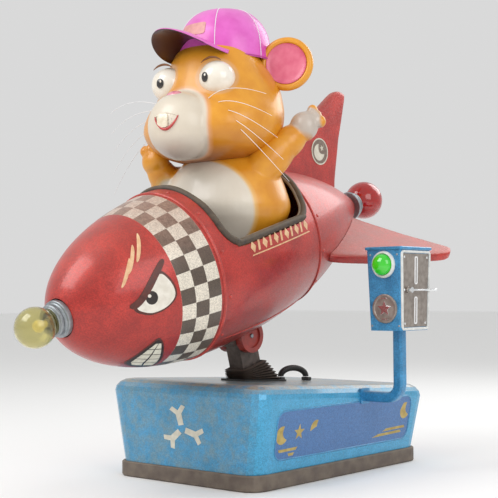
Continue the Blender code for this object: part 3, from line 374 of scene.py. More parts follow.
def surface(name, paint=None, **look):
    # look: two colours that mottle, mottle in mm, rough (low, high), grain (mm, depth in mm),
    # flake (mm, tilt, gain), dust (colour, amount), chips (colour, mm, amount), and the shader's own
    # fixed values, which start with a capital
    fixed = {key: value for key, value in look.items() if key[0].isupper()}
    material, tree, shader = newMaterial(name, **fixed)
    place = addNode(tree, "TexCoord").outputs["Object"]
    cloud = addNode(tree, "TexNoise", {"Vector": place, "Scale": scaleFor(look["mottle"]), "Detail": 5.0})
    low, high = (linear(code) for code in look["colours"])
    spread = addNode(tree, "MapRange", {"Value": cloud, "From Min": 0.35, "From Max": 0.65})
    colour = addNode(tree, "Mix", {"Factor": spread, "A": low, "B": high},
                     data_type="RGBA")
    if paint:
        colour = paint(tree, place, colour, cloud)
    normal = None
    if "flake" in look:  # aluminium flakes under the clear coat, each lying its own way
        size, tilt, gain = look["flake"]
        cells = addNode(tree, "TexVoronoi", {"Vector": place, "Scale": scaleFor(size)})
        own = addNode(tree, "SeparateColor", {"Color": cells.outputs["Color"]})
        bright = addNode(tree, "MapRange", {"Value": own.outputs["Red"], "From Min": 0.0, "From Max": 1.0,
                                            "To Min": 1 - gain, "To Max": 1 + gain})
        colour = addNode(tree, "HueSaturation", {"Value": bright, "Color": colour})
        turned = addNode(tree, "VectorMath", {0: cells.outputs["Color"], 1: (0.5, 0.5, 0.5)},
                         operation="SUBTRACT")
        tilted = addNode(tree, "VectorMath", {0: turned, "Scale": tilt}, operation="SCALE")
        faced = addNode(tree, "VectorMath", {0: tilted, 1: addNode(tree, "NewGeometry").outputs["Normal"]})
        normal = addNode(tree, "VectorMath", {0: faced}, operation="NORMALIZE")
    if "chips" in look:  # small losses of the top colour
        tone, size, amount = look["chips"]
        spots = addNode(tree, "TexNoise", {"Vector": place, "Scale": scaleFor(size), "Detail": 6.0,
                                           "Roughness": 0.7})
        bare = addNode(tree, "MapRange", {"Value": spots, "From Min": 1 - amount,
                                          "From Max": 1.02 - amount})
        colour = addNode(tree, "Mix", {"Factor": bare, "A": colour, "B": linear(tone)},
                         data_type="RGBA")
    rough = addNode(tree, "MapRange", {"Value": cloud, "From Min": 0.3, "From Max": 0.7,
                                       "To Min": look["rough"][0], "To Max": look["rough"][1]})
    if "dust" in look:  # settles on what faces up, thicker in patches; on the red gelcoat it also serves as painted highlight
        tone, amount = look["dust"]
        up = addNode(tree, "SeparateXYZ", {0: addNode(tree, "NewGeometry").outputs["Normal"]})
        patches = addNode(tree, "TexNoise", {"Vector": place, "Scale": scaleFor(26), "Detail": 8.0,
                                             "Roughness": 0.65})
        laid = addNode(tree, "MapRange", {"Value": up.outputs["Z"], "From Min": 0.1, "From Max": 1.0})
        weight = addNode(tree, "Math", {0: laid, 1: patches}, operation="MULTIPLY")
        weight = addNode(tree, "Math", {0: weight, 1: amount * 1.6}, operation="MULTIPLY", use_clamp=True)
        colour = addNode(tree, "Mix", {"Factor": weight, "A": colour, "B": linear(tone)},
                         data_type="RGBA")
        rough = addNode(tree, "Mix", {"Factor": weight, "A": rough, "B": 0.8})
    if "grain" in look:
        size, depth = look["grain"]
        grit = addNode(tree, "TexNoise", {"Vector": place, "Scale": scaleFor(size), "Detail": 3.0})
        settings = {"Height": grit, "Distance": depth / 1000, "Strength": 1.0}
        if normal is not None:
            settings["Normal"] = normal
        normal = addNode(tree, "Bump", settings)
    plug(tree, shader, {"Base Color": colour, "Roughness": rough})
    if normal is not None:
        plug(tree, shader, {"Normal": normal})
    return material


def inside(tree, value, low, high, soft=0.001):  # 1 where the value lies between low and high
    rise = addNode(tree, "MapRange", {"Value": value, "From Min": low - soft, "From Max": low + soft})
    fall = addNode(tree, "MapRange", {"Value": value, "From Min": high + soft, "From Max": high - soft})
    return addNode(tree, "Math", {0: rise, 1: fall},
                   operation="MULTIPLY")


def laidOver(tree, colour, layers):  # coats of colour, each where its mask is 1
    for mask, tone in layers:
        tone = linear(tone) if isinstance(tone, str) else tone
        colour = addNode(tree, "Mix", {"Factor": mask, "A": colour, "B": tone}, data_type="RGBA")
    return colour


def blob(tree, place, centre, radii, edge=(1.0, 0.9)):  # 1 inside an ellipsoid, fading over its edge
    off = addNode(tree, "VectorMath", {0: place, 1: centre}, operation="SUBTRACT")
    even = addNode(tree, "VectorMath", {0: off, 1: radii}, operation="DIVIDE")
    far = addNode(tree, "VectorMath", {0: even}, operation="LENGTH")
    return addNode(tree, "MapRange", {"Value": far, "From Min": edge[0],
                                      "From Max": edge[1]})


checker = dict(start=0.28, square=0.05, rows=3, around=32, light="#DCD3C3", dark="#54463A", faded="#B49A86",
               lost="#8E3A2C", keelShade="#7A211B")


def paintHull(tree, place, colour, cloud):  # printed squares round the nose, rubbed and dusty on top
    at = addNode(tree, "SeparateXYZ", {0: place})
    across = addNode(tree, "Math", {0: at.outputs["X"], 1: hull["width"]}, operation="DIVIDE")
    angle = addNode(tree, "Math", {0: at.outputs["Z"], 1: across}, operation="ARCTAN2")
    turns = addNode(tree, "Math", {0: angle, 1: checker["around"] / (2 * math.pi)}, operation="MULTIPLY")
    column = addNode(tree, "Math", {0: turns}, operation="FLOOR")
    shift = addNode(tree, "Math", {0: at.outputs["Y"], 1: checker["start"]}, operation="SUBTRACT")
    rows = addNode(tree, "Math", {0: shift, 1: checker["square"]}, operation="DIVIDE")
    row = addNode(tree, "Math", {0: rows}, operation="FLOOR")
    both = addNode(tree, "Math", {0: column, 1: row}, operation="ADD")
    odd = addNode(tree, "Math", {0: both, 1: 2.0}, operation="FLOORED_MODULO")
    rub = addNode(tree, "TexNoise", {"Vector": place, "Scale": scaleFor(14), "Detail": 8.0, "Roughness": 0.7})
    height = addNode(tree, "MapRange", {"Value": at.outputs["Z"], "From Min": 0.0, "From Max": 0.26})
    high = addNode(tree, "Math", {0: rub, 1: height}, operation="MULTIPLY")
    worn = addNode(tree, "MapRange", {"Value": high, "From Min": 0.18, "From Max": 0.62, "To Max": 0.7})
    spots = addNode(tree, "MapRange", {"Value": rub, "From Min": 0.70, "From Max": 0.74})
    squares = laidOver(tree, linear(checker["light"]), [
        (odd, checker["dark"]), (worn, checker["faded"]),
        (spots, checker["lost"])])
    end = checker["start"] + checker["square"] * checker["rows"]
    band = inside(tree, at.outputs["Y"], checker["start"], end, 0.0008)
    # painted shade: the red is darkened towards the keel, over the underside
    deep = addNode(tree, "MapRange", {"Value": at.outputs["Z"], "From Min": 0.06, "From Max": -0.26,
                                      "To Max": 0.6})
    return laidOver(tree, colour, [(deep, checker["keelShade"]), (band, squares)])


# red metalflake gelcoat, moulded glass fibre: deep wet red with fine sparkle, dull pink dust on top that also
# serves as painted highlight on the upper surfaces
gelcoat = dict(colours=("#A2231B", "#BC2F24"), mottle=70, rough=(0.34, 0.46), flake=(3.0, 0.14, 0.22),
               dust=("#BE7565", 0.26), chips=("#C58C4A", 9, 0.285), grain=(24, 0.25),
               Metallic=0.18, Coat_Weight=0.45, Coat_Roughness=0.16, IOR=1.5)
flakeRed = surface("red_metalflake_gelcoat", paintHull, **gelcoat)
# the fins carry more of the pink dust and painted highlight on their upward faces
finRed = surface("red_metalflake_fin", **dict(gelcoat, dust=("#A8695A", 0.62)))
seamRed = surface("red_moulded_bead", **dict(gelcoat, colours=("#A52B22", "#BD3A2E"), mottle=30))
# red enamel on cast iron: same red without flakes, duller
castRed = surface("red_enamel_cast_iron", colours=("#8C2A22", "#A5362B"), mottle=25, rough=(0.35, 0.55),
                  dust=("#A0705F", 0.3), chips=("#4A332B", 7, 0.3), grain=(5, 0.25), Coat_Weight=0.3,
                  Coat_Roughness=0.2)
# brushed grey-olive paint in the cheek plates' recess, lightened as a painted highlight: dull and chipped
recessToneAndHighlight = surface("cheek_recess_tone_and_highlight", colours=("#75684F", "#94855F"), mottle=18, rough=(0.5, 0.7),
                grain=(4, 0.2), chips=("#4A3A2D", 7, 0.3))
# blue metalflake gelcoat: cooler, a little greyer where hands and shoes rub it
blueCoat = dict(colours=("#2F86B0", "#4295C2"), mottle=60, rough=(0.32, 0.45), flake=(3.0, 0.16, 0.20),
                dust=("#8FA9B5", 0.35), chips=("#A9B8BA", 8, 0.26), grain=(26, 0.25),
                Metallic=0.3, Coat_Weight=0.6, Coat_Roughness=0.16, IOR=1.5)
# brown-grey enamel on steel plate: dull, scuffed lighter where feet touch
plinthCoat = surface("brown_enamel_steel", colours=("#5C5047", "#75695D"), mottle=40, rough=(0.5, 0.75),
                     chips=("#9A8F80", 6, 0.33), grain=(3, 0.3), dust=("#8A7C6B", 0.6))
# grey enamel on steel tube: scuffed to bright edges
armCoat = surface("grey_enamel_arm", colours=("#4C423D", "#6A5E57"), mottle=22, rough=(0.45, 0.65),
                  chips=("#97897C", 8, 0.34), grain=(4, 0.25), dust=("#8A8078", 0.5), Metallic=0.4)
# rolled steel sheet: soft grey highlights, smudged
steel = surface("rolled_steel", colours=("#8E857E", "#A79E96"), mottle=18, rough=(0.34, 0.5),
                grain=(2.5, 0.08), chips=("#6E655E", 6, 0.32), Metallic=0.75)
# oiled black oxide: dark with a low sheen
darkSteel = surface("black_oxide_steel", colours=("#2E2A28", "#433C38"), mottle=20, rough=(0.42, 0.6),
                    grain=(3, 0.1), Metallic=0.8)
# zinc: pale, slightly spangled grey
galvanised = surface("galvanised_steel", colours=("#8D9296", "#A6ABAE"), mottle=12, rough=(0.35, 0.55),
                     grain=(6, 0.06), Metallic=0.85)
# chrome plate: near-mirror
chrome = surface("chromed_brass", colours=("#D7DADC", "#EEF0F1"), mottle=30, rough=(0.06, 0.16), Metallic=1.0)
# oil-filled bronze bush: warm, porous
bronze = surface("sintered_bronze", colours=("#8A6A38", "#A9854A"), mottle=9, rough=(0.35, 0.5),
                 grain=(1.5, 0.1), Metallic=0.9)
# grey-green machine enamel: satin under dust
motorCoat = surface("green_grey_enamel", colours=("#4F5E58", "#66756D"), mottle=25, rough=(0.4, 0.55),
                    grain=(5, 0.2), dust=("#8D877B", 0.4))
# extruded rubber edging: near-black brown, matt with greasy patches
rubber = surface("extruded_rubber", colours=("#382E26", "#544638"), mottle=16, rough=(0.45, 0.7),
                 grain=(2.5, 0.15), dust=("#8A7C68", 0.45))
# vinyl bead: greyer and smoother than the rubber beside it
bead = surface("grey_vinyl_bead", colours=("#75695A", "#8D8070"), mottle=14, rough=(0.4, 0.6),
               grain=(2.5, 0.1), dust=("#9C907E", 0.4))
# neoprene: black, matt, dust in the folds
bootRubber = surface("moulded_neoprene", colours=("#221815", "#33261F"), mottle=20, rough=(0.5, 0.75),
                     grain=(3, 0.2), dust=("#6E6155", 0.4))
# moulded ABS: fine texture, low sheen
blackPlastic = surface("black_abs", colours=("#1D1B1A", "#2A2725"), mottle=25, rough=(0.38, 0.5),
                       grain=(1.2, 0.06))
# painted tub: dark brown-black, dusty on the seat
liner = surface("black_tub_liner", colours=("#3A2A26", "#57392F"), mottle=30, rough=(0.45, 0.65),
                grain=(4, 0.2), dust=("#8A6A5A", 0.4))
# cut vinyl films: flat colour with a slight sheen, flaked at random
gold = surface("gold_vinyl_film", colours=("#A8914E", "#C2AC68"), mottle=22, rough=(0.35, 0.5),
               grain=(6, 0.05), chips=("#4E7890", 10, 0.31), Metallic=0.3)
tanFilm = surface("tan_vinyl_film", colours=("#D2A074", "#E2BC92"), mottle=16, rough=(0.35, 0.5),
                  chips=("#A03A2C", 6, 0.36))
creamFilm = surface("cream_vinyl_film", colours=("#C9C5B4", "#DDD9C9"), mottle=18, rough=(0.4, 0.55),
                    chips=("#7F93A0", 9, 0.32))
noseWhite = surface("white_eye_film", colours=("#D9D2C4", "#E8E2D6"), mottle=20, rough=(0.35, 0.5),
                    chips=("#B0664F", 7, 0.30))
inkFilm = surface("dark_brown_film", colours=("#4A1F18", "#5E2A20"), mottle=14, rough=(0.35, 0.5),
                  chips=("#8C4436", 5, 0.36))
blackFilm = surface("black_film", colours=("#1F1614", "#2C201C"), mottle=14, rough=(0.3, 0.45))
greyFilm = surface("grey_brown_film", colours=("#6E5F52", "#85766A"), mottle=10, rough=(0.4, 0.6),
                   chips=("#C9BCA8", 5, 0.34))
print("finishes mixed:", len(bpy.data.materials))


def put(made, body, slot, *nodes):  # rides a body and stands for CAD nodes, which it hides; slot is not used
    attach(made, body)
    if nodes:
        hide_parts(*nodes)
    return made


# ---- rocket skins

opening = dict(front=0.506, rear=0.955, sill=0.078, lean=0.075 / 0.150, corner=0.070, rim=0.012, clear=0.0012)


def openingOutline(grow=0.0, count=16):  # (station, height) of the cockpit opening's edge in side view
    front, sill = opening["front"] - grow, opening["sill"] - grow
    rear, radius = opening["rear"] + grow, opening["corner"] + grow
    points = [(front, 0.40)]
    for i in range(count):
        turn = math.pi + math.pi / 2 * i / (count - 1)
        points.append((front + radius + radius * math.cos(turn), sill + radius + radius * math.sin(turn)))
    for i in range(count):
        turn = -math.pi / 2 + (math.pi / 2 - math.atan(opening["lean"])) * i / (count - 1)
        points.append((rear - radius + radius * math.cos(turn), sill + radius + radius * math.sin(turn)))
    last, height = points[-1]
    return points + [(last + opening["lean"] * (0.40 - height), 0.40)]


def plate(name, loops, thickness, round, segments, material):  # a flat form with rounded edges, about z = 0
    shape = filled(loops)
    grown = bmesh.ops.extrude_face_region(shape, geom=list(shape.faces))
    bmesh.ops.translate(shape, verts=[v for v in grown["geom"] if isinstance(v, bmesh.types.BMVert)],
                        vec=(0, 0, thickness))
    bmesh.ops.translate(shape, verts=shape.verts, vec=(0, 0, -thickness / 2))
    bmesh.ops.recalc_face_normals(shape, faces=shape.faces)
    bmesh.ops.dissolve_limit(shape, angle_limit=0.001, verts=shape.verts, edges=shape.edges)
    if round:
        edges = [edge for edge in shape.edges if len(edge.link_faces) == 2 and edge.calc_face_angle() > 0.9]
        bmesh.ops.bevel(shape, geom=edges, offset=round, segments=segments, profile=0.5, affect="EDGES")
    data = bpy.data.meshes.new(name)
    shape.to_mesh(data)
    shape.free()
    made = bpy.data.objects.new(name, data)
    bpy.context.scene.collection.objects.link(made)
    data.materials.append(material)
    return made


def boolean(made, cutter, kind="DIFFERENCE"):
    step = made.modifiers.new("cut", "BOOLEAN")
    step.operation = kind
    step.object = cutter
    step.solver = "EXACT"
    made = applied(made)
    return made


def smoothAgain(made, sharp=35):
    made.data.shade_smooth()
    made.data.set_sharp_from_angle(angle=math.radians(sharp))
    return made


def hullSkin(name, start, end, rows):  # a turned shell with its wall thickness
    stations = [start + (end - start) * (k / rows) ** (1.6 if start == 0 else 1) for k in range(rows + 1)]
    outer = [(hullRadius(station), station) for station in stations]
    inner = [(radius - hull["wall"], station) for radius, station in reversed(outer)]
    return revolve(name, outer + inner, flakeRed, rocket, 160, hull["width"])


# a plate's X and Y to station and height
sideOn = Matrix(((0, 0, 1, 0), (1, 0, 0, 0), (0, 1, 0, 0), (0, 0, 0, 1)))
cutter = plate("opening_cutter", [openingOutline(opening["rim"] + opening["clear"])], 0.8, 0, 1, flakeRed)
cutter.matrix_world = rocket @ sideOn
gap = 0.0003
noseSkin = hullSkin("nose_skin", 0.0, hull["noseSeam"] - gap, 40)
bodySkin = boolean(hullSkin("body_skin", hull["noseSeam"] + gap, hull["tailSeam"] - gap, 36), cutter)
tailSkin = boolean(hullSkin("tail_skin", hull["tailSeam"] + gap, hull["end"], 36), cutter)
for made, node in ((noseSkin, "nose_shell"), (bodySkin, "body_shell"), (tailSkin, "tail_shell")):
    put(smoothAgain(made), "rocker", "red_flake_gelcoat", node)

seam = dict(lift=0.0045, half=0.006)
for name, station, node in (("front_seam_bead", hull["noseSeam"], "front_seam_ring"),
                            ("rear_seam_bead", hull["tailSeam"], "rear_seam_ring")):
    profile = []
    for i in range(9):
        turn = math.pi * i / 8
        place = station - seam["half"] * math.cos(turn)
        profile.append((hullRadius(place) + 0.0004 + seam["lift"] * math.sin(turn), place))
    made = boolean(revolve(name, profile, seamRed, rocket, 160, hull["width"]), cutter)
    put(smoothAgain(made), "rocker", "red_flake_gelcoat", node)


# cockpit edging: a rubber welt along the cut edge with a thinner grey bead on its inner side
def rimLine():
    def sideX(station, height):
        radius = hullRadius(station) - 0.002
        return hull["width"] * math.sqrt(max(radius * radius - height * height, 0.0))
    profile = openingOutline(0.0, 5)[1:-1]
    top = hullRadius(opening["front"])
    side = [(sideX(s, h), s, h) for s, h in
            [(opening["front"], top * math.sin(math.radians(a))) for a in (72, 52, 40)] + profile]
    rearS, rearH = profile[-1]
    high = rearH
    while sideX(rearS + opening["lean"] * (high - rearH), high) > 0.02:
        high += 0.002
    for part in (0.35, 0.62, 0.84, 0.96):
        h = rearH + (high - rearH) * part
        s = rearS + opening["lean"] * (h - rearH)
        side.append((sideX(s, h), s, h))
    front = (0, opening["front"], top - 0.002)
    rear = (0, rearS + opening["lean"] * (high - rearH), high)
    return [front] + side + [rear] + [(-x, s, h) for x, s, h in side[::-1]]


rimPath = smoothLine(rimLine(), 6, closed=True)
put(tube("cockpit_welt", rimPath, opening["rim"], rubber, rocket, closed=True, sides=6), "rocker",
    "rim_rubber", "cockpit_rim")
middle = Vector((0, 0.735, 0.20))
inward = []
for point in rimPath:
    pull = (middle - Vector(point)).normalized()
    inward.append(Vector(point) + pull * 0.0125 + Vector((point[0], 0, point[2])).normalized() * 0.003)
put(tube("cockpit_bead", inward, 0.0055, bead, rocket, closed=True, sides=4), "rocker", "rim_rubber")
print("rocket skins and cockpit edge cut")

# ---- lamps at both ends

# blown glass, faintly amber or dyed red through, with dirt that blurs it in patches
glasses = {}
for name, spec in {"clear_blown_glass": dict(tone="#E9E3B4", stain="#E9E3B4", through=0.93, dirt=30,
                                             haze=(0.03, 0.35), coat=0),
                   "red_blown_glass": dict(tone="#D8241F", stain="#C01A18", through=0.45, dirt=25,
                                           haze=(0.04, 0.3), coat=0.6)}.items():
    glasses[name], tree, shader = newMaterial(name, IOR=1.5, Coat_Weight=spec["coat"],
                                              Transmission_Weight=spec["through"])
    place = addNode(tree, "TexCoord").outputs["Object"]
    dirt = addNode(tree, "TexNoise", {"Vector": place, "Scale": scaleFor(spec["dirt"]), "Detail": 6.0})
    tone = laidOver(tree, linear(spec["tone"]), [(dirt, spec["stain"])])
    haze = addNode(tree, "MapRange", {"Value": dirt, "From Min": 0.4, "From Max": 0.8,
                                      "To Min": spec["haze"][0], "To Max": spec["haze"][1]})
    plug(tree, shader, {"Base Color": tone, "Roughness": haze})
lampGlass, redGlass = glasses["clear_blown_glass"], glasses["red_blown_glass"]

opal, tree, shader = newMaterial("opal_lamp_glass", Roughness=0.25)  # milky, lit from inside
place = addNode(tree, "TexCoord").outputs["Object"]
glow = addNode(tree, "TexNoise", {"Vector": place, "Scale": scaleFor(12)})
plug(tree, shader, {"Base Color": laidOver(tree, linear("#E8D58A"), [(glow, "#F4EBC0")]),
                    "Emission Color": linear("#F2DC86"), "Emission Strength": 0.25})

lamps = {"nose": dict(ball=0.060, start=0.0, way=-1, ring=0.048, slot="clear_lamp_glass", glass=lampGlass),
         "tail": dict(ball=0.073, start=hull["end"], way=1, ring=0.0456, slot="red_lamp_glass",
                      glass=redGlass)}
for name, lamp in lamps.items():
    ring, way, start = lamp["ring"], lamp["way"], lamp["start"]
    steps = [(ring - 0.008, 0.0400), (ring - 0.0065, 0.0404), (ring - 0.0052, 0.0392),
             (ring - 0.005, 0.0365), (ring - 0.0015, 0.0350), (ring, 0.0330), (ring, 0.0275),
             (ring - 0.002, 0.0268), (ring - 0.002, 0.0250), (ring, 0.0243), (ring, 0.0190),
             (ring + 0.002, 0.0165), (ring + 0.0065, 0.0150), (ring + 0.008, 0.0130), (ring + 0.008, 0.0020),
             (ring + 0.0075, gap), (0.010, gap), (0.010, 0.012), (0.030, 0.020), (0.031, 0.0395)]
    made = revolve(name + "_lamp_collar", [(r, start + way * z) for r, z in steps], galvanised, rocket, 72,
                   sharp=30)
    put(made, "rocker", "steel", name + "_collar")
    neck, reach, wall = 0.0285, 0.0255, 0.0025
    sink = math.sqrt(lamp["ball"] ** 2 - neck ** 2)
    centre = reach + 0.016 + sink
    first = math.atan2(-sink, neck)
    arc = [first + (math.pi / 2 - first) * i / 30 for i in range(31)]
    skin = [(neck, reach), (neck, reach + 0.012)]
    skin += [(lamp["ball"] * math.cos(a), centre + lamp["ball"] * math.sin(a)) for a in arc]
    skin[-1] = (0.0, centre + lamp["ball"])
    within = lamp["ball"] - wall
    back = [(within * math.cos(a), centre + within * math.sin(a)) for a in arc[::-1]]
    back[0] = (0.0, centre + within)
    skin += back + [(neck - wall, reach + 0.012), (neck - wall, reach)]
    made = revolve(name + "_lamp_globe", [(r, start + way * z) for r, z in skin], lamp["glass"], rocket, 72)
    put(made, "rocker", lamp["slot"], name + "_bulb")
    # socket and small lamp inside the globe
    inner = [(0.0, 0.0225), (0.018, 0.0225), (0.018, 0.040), (0.014, 0.043), (0.0135, 0.052), (0.0125, 0.054),
             (0.0, 0.054)]
    put(revolve(name + "_lamp_socket", [(r, start + way * z) for r, z in inner], steel, rocket, 40,
                loop=False), "rocker", "steel")
    bulbLine = smoothLine([(0.0095, 0.0545), (0.0115, 0.062), (0.017, 0.074), (0.0185, 0.083), (0.014, 0.093),
                           (0.006, 0.0975), (0.0, 0.098)], 4)
    pearl = [(r, start + way * z) for r, z in bulbLine[:-1]] + [(0.0, start + way * 0.098)]
    put(revolve(name + "_lamp_pearl", [(0.0, start + way * 0.0545)] + pearl, opal, rocket, 40, loop=False),
        "rocker", lamp["slot"])
print("lamps blown")

# ---- fins and small fittings on the hull

finLine = [(1.065, 0.19), (1.085, 0.226), (1.20, 0.300), (1.344, 0.372), (1.433, 0.410), (1.50, 0.436),
           (1.535, 0.440), (1.560, 0.426), (1.565, 0.405), (1.482, 0.261), (1.415, 0.120), (1.395, 0.06),
           (1.10, 0.06)]
stations = [0.10 + (hull["end"] - 0.12) * k / 60 for k in range(61)]
core = revolve("fin_root_cutter", [(0.0, 0.10)] + [(hullRadius(s) + 0.0012, s) for s in stations] +
               [(0.0, hull["end"] - 0.02)], finRed, rocket, 128, hull["width"], loop=False)
for name, lean in (("top_fin", 0.0), ("left_fin", 120.0), ("right_fin", -120.0)):
    made = plate(name + "_skin", [smoothLine(finLine[:10], 5) + finLine[10:]], 0.033, 0, 1, finRed)
    made = moulded(made, 0.0045, 14, finRed)  # laid up thick, its edges sanded round
    made.data.transform(Matrix.Rotation(math.radians(lean), 4, "Y") @ sideOn)
    made.matrix_world = rocket
    put(smoothAgain(boolean(made, core), 50), "rocker", "red_flake_gelcoat", name)
bpy.data.objects.remove(core, do_unlink=True)
bpy.data.objects.remove(cutter, do_unlink=True)


def hullNormal(station, angle):
    d = 0.002
    slope = (hullRadius(station + d) - hullRadius(station - d)) / (2 * d)
    return Vector((math.cos(angle) / hull["width"], -slope, math.sin(angle))).normalized()


rivets = dict(radius=0.0062, height=0.0035)
places = []
for station, first in ((0.468, 15), (1.008, 15)):
    for angle in range(first, 360, 30):
        turn = math.radians(angle)
        clear = hullRadius(station) * math.sin(turn) < opening["sill"] + 0.03 or station > 1.03
        if clear or abs(math.cos(turn)) < 0.3 or station < 0.5:
            places.append((onHull(station, turn), hullNormal(station, turn)))
put(studs("hull_rivets", places, rivets["radius"], rivets["height"], seamRed, rocket), "rocker",
    "red_flake_gelcoat")
# parting ridges low on both flanks
for side, name in ((1, "right"), (-1, "left")):
    line = []
    for k in range(41):
        station = 0.47 + 0.50 * k / 40
        turn = math.radians(-50 - 8 * k / 40)
        x, s, z = onHull(station, turn, 0.0002)
        line.append((side * x, s, z))
    put(tube("parting_ridge_" + name, line, 0.0022, seamRed, rocket, sides=3,
             taper=lambda t: min(1.0, 6 * t, 6 * (1 - t)) + 0.05), "rocker", "red_flake_gelcoat")
print("fins, rivets and ridges fitted")

# ---- rider: head and body each fused from plain forms, as a laid-up glass fibre figure is

face = dict(turn=5.0, axis=-0.268, eyeX=0.100, eyeForward=0.147, eyeZ=1.303, eye=(0.061, 0.058, 0.058),
            muzzleForward=0.208, muzzleZ=1.150, muzzle=(0.112, 0.105, 0.112), noseForward=0.239, noseZ=1.239)
faceTurn = Matrix.Rotation(math.radians(face["turn"]), 4, "Z")


def onFace(x, forward, z):
    return Vector((0, face["axis"], 0)) + faceTurn @ Vector((x, -forward, z))


muzzleAt = onFace(0, face["muzzleForward"], face["muzzleZ"])
eyesAt = {"right": onFace(face["eyeX"], face["eyeForward"], face["eyeZ"]),
          "left": onFace(-face["eyeX"], face["eyeForward"], face["eyeZ"])}
seatY = -0.235
mould = dict(cell=0.0042, head=8, body=7)  # size of the fused skin's facets, and rounds of smoothing
headLevels = [(0.012, 1.520, -0.010), (0.060, 1.512, -0.010), (0.112, 1.487, -0.015), (0.140, 1.440, -0.027),
              (0.154, 1.395, -0.049), (0.182, 1.345, -0.040), (0.207, 1.298, -0.033), (0.222, 1.249, -0.037),
              (0.237, 1.209, -0.053), (0.242, 1.164, -0.068), (0.232, 1.130, -0.077), (0.205, 1.095, -0.083),
              (0.160, 1.065, -0.083), (0.095, 1.045, -0.080), (0.020, 1.038, -0.080)]
torsoLevels = [(radius, height, -0.005) for radius, height in ((0.080, 1.088), (0.135, 1.066),
                                                               (0.168, 1.035), (0.196, 1.000),
                                                               (0.216, 0.952), (0.230, 0.903),
                                                               (0.222, 0.868), (0.205, 0.835),
                                                               (0.188, 0.795), (0.174, 0.750),
                                                               (0.164, 0.682))]


def bust(name, levels, depth, material):  # rings down a figure: (radius, height, fore-and-aft centre)
    rings = []
    for radius, height, back in smoothLine(levels, 4):
        turns = [2 * math.pi * i / 64 for i in range(64)]
        rings.append([(radius * math.cos(t), seatY + back + depth * radius * math.sin(t),
                       height) for t in turns])
    return ringLoft(name, rings, material)


# orange and cream gloss enamel over laid-up glass fibre: wet sheen, slightly uneven
fur = dict(colours=("#D48A1C", "#E09A26"), mottle=60, rough=(0.30, 0.42), grain=(9, 0.25),
           chips=("#A96420", 7, 0.235), Coat_Weight=0.35, Coat_Roughness=0.18, IOR=1.48)
cream = dict(colours=("#D8CCB8", "#E4DBC9"), mottle=50, rough=(0.32, 0.45), grain=(9, 0.2),
             Coat_Weight=0.3, Coat_Roughness=0.2)


def paintHead(tree, place, colour, cloud):  # sprayed muzzle and soft halos round the eyes, with painted shade on the jowls, in the crease at the neck and under the muzzle
    at = addNode(tree, "SeparateXYZ", {0: place})
    # painted shade: the orange darkened low on the jowls, darker still in the crease above the body
    jowlShade = addNode(tree, "MapRange", {"Value": at.outputs["Z"], "From Min": 1.150, "From Max": 1.075,
                                      "To Max": 0.75})
    creaseShade = addNode(tree, "MapRange", {"Value": at.outputs["Z"], "From Min": 1.085, "From Max": 1.050})
    wide = tuple(r + 0.012 for r in face["muzzle"])
    layers = [(jowlShade, "#BE7217"), (creaseShade, "#98541B")]
    for spot in eyesAt.values():
        layers.append((blob(tree, place, spot, tuple(r + 0.011 for r in face["eye"]), (1.06, 0.94)),
                       "#D9A063"))
    # painted shade: the muzzle's cream greyed towards its underside
    under = addNode(tree, "MapRange", {"Value": at.outputs["Z"], "From Min": 1.115, "From Max": 1.045,
                                       "To Max": 0.85})
    creamShadedBelow = laidOver(tree, linear("#DFD5C4"), [(cloud, "#D3C6B2"), (under, "#AFA39A")])
    layers.append((blob(tree, place, muzzleAt, wide, (1.10, 0.98)), "#DDA377"))
    layers.append((blob(tree, place, muzzleAt, wide, (1.02, 0.95)), creamShadedBelow))
    return laidOver(tree, colour, layers)


belly = dict(at=(0, -0.44, 0.88), radii=(0.235, 0.23, 0.178), paw=(0.262, -0.130, 1.172),
             pawRadii=(0.060, 0.058, 0.056))


def paintBody(tree, place, colour, cloud):  # sprayed belly bib and the pale paw, with painted shade low on the torso and on the bib under the head
    at = addNode(tree, "SeparateXYZ", {0: place})
    # painted shade: the orange darkened towards the bottom of the torso
    low = addNode(tree, "MapRange", {"Value": at.outputs["Z"], "From Min": 0.98, "From Max": 0.86,
                                     "To Max": 0.35})
    bib = laidOver(tree, linear("#DED5C6"), [(cloud, "#D2C7B6")])
    # painted shade: the bib greyed at the neck, under the head
    neck = addNode(tree, "MapRange", {"Value": at.outputs["Z"], "From Min": 1.03, "From Max": 1.09,
                                      "To Max": 0.8})
    bib = laidOver(tree, bib, [(neck, "#B7AAA0")])
    return laidOver(tree, colour, [
        (low, "#C9821C"),
        (blob(tree, place, belly["at"], belly["radii"], (1.05, 0.99)), "#E0B36B"),
        (blob(tree, place, belly["at"], belly["radii"], (1.0, 0.96)), bib),
        (blob(tree, place, belly["paw"], belly["pawRadii"], (1.05, 0.9)), bib)])


headPaint = surface("orange_and_cream_gloss_head", paintHead, **fur)
bodyPaint = surface("orange_and_cream_gloss_body", paintBody, **fur)
orange = surface("orange_gloss_enamel", **fur)
creamPaint = surface("cream_gloss_enamel", **cream)

head = joinShapes("head_skin", [bust("head_form", headLevels, 0.92, None),
                                egg("muzzle_form", face["muzzle"], muzzleAt, None, sides=56)])
put(moulded(head, mould["cell"], mould["head"], headPaint), "rocker", "fur_paint", "rider_head")

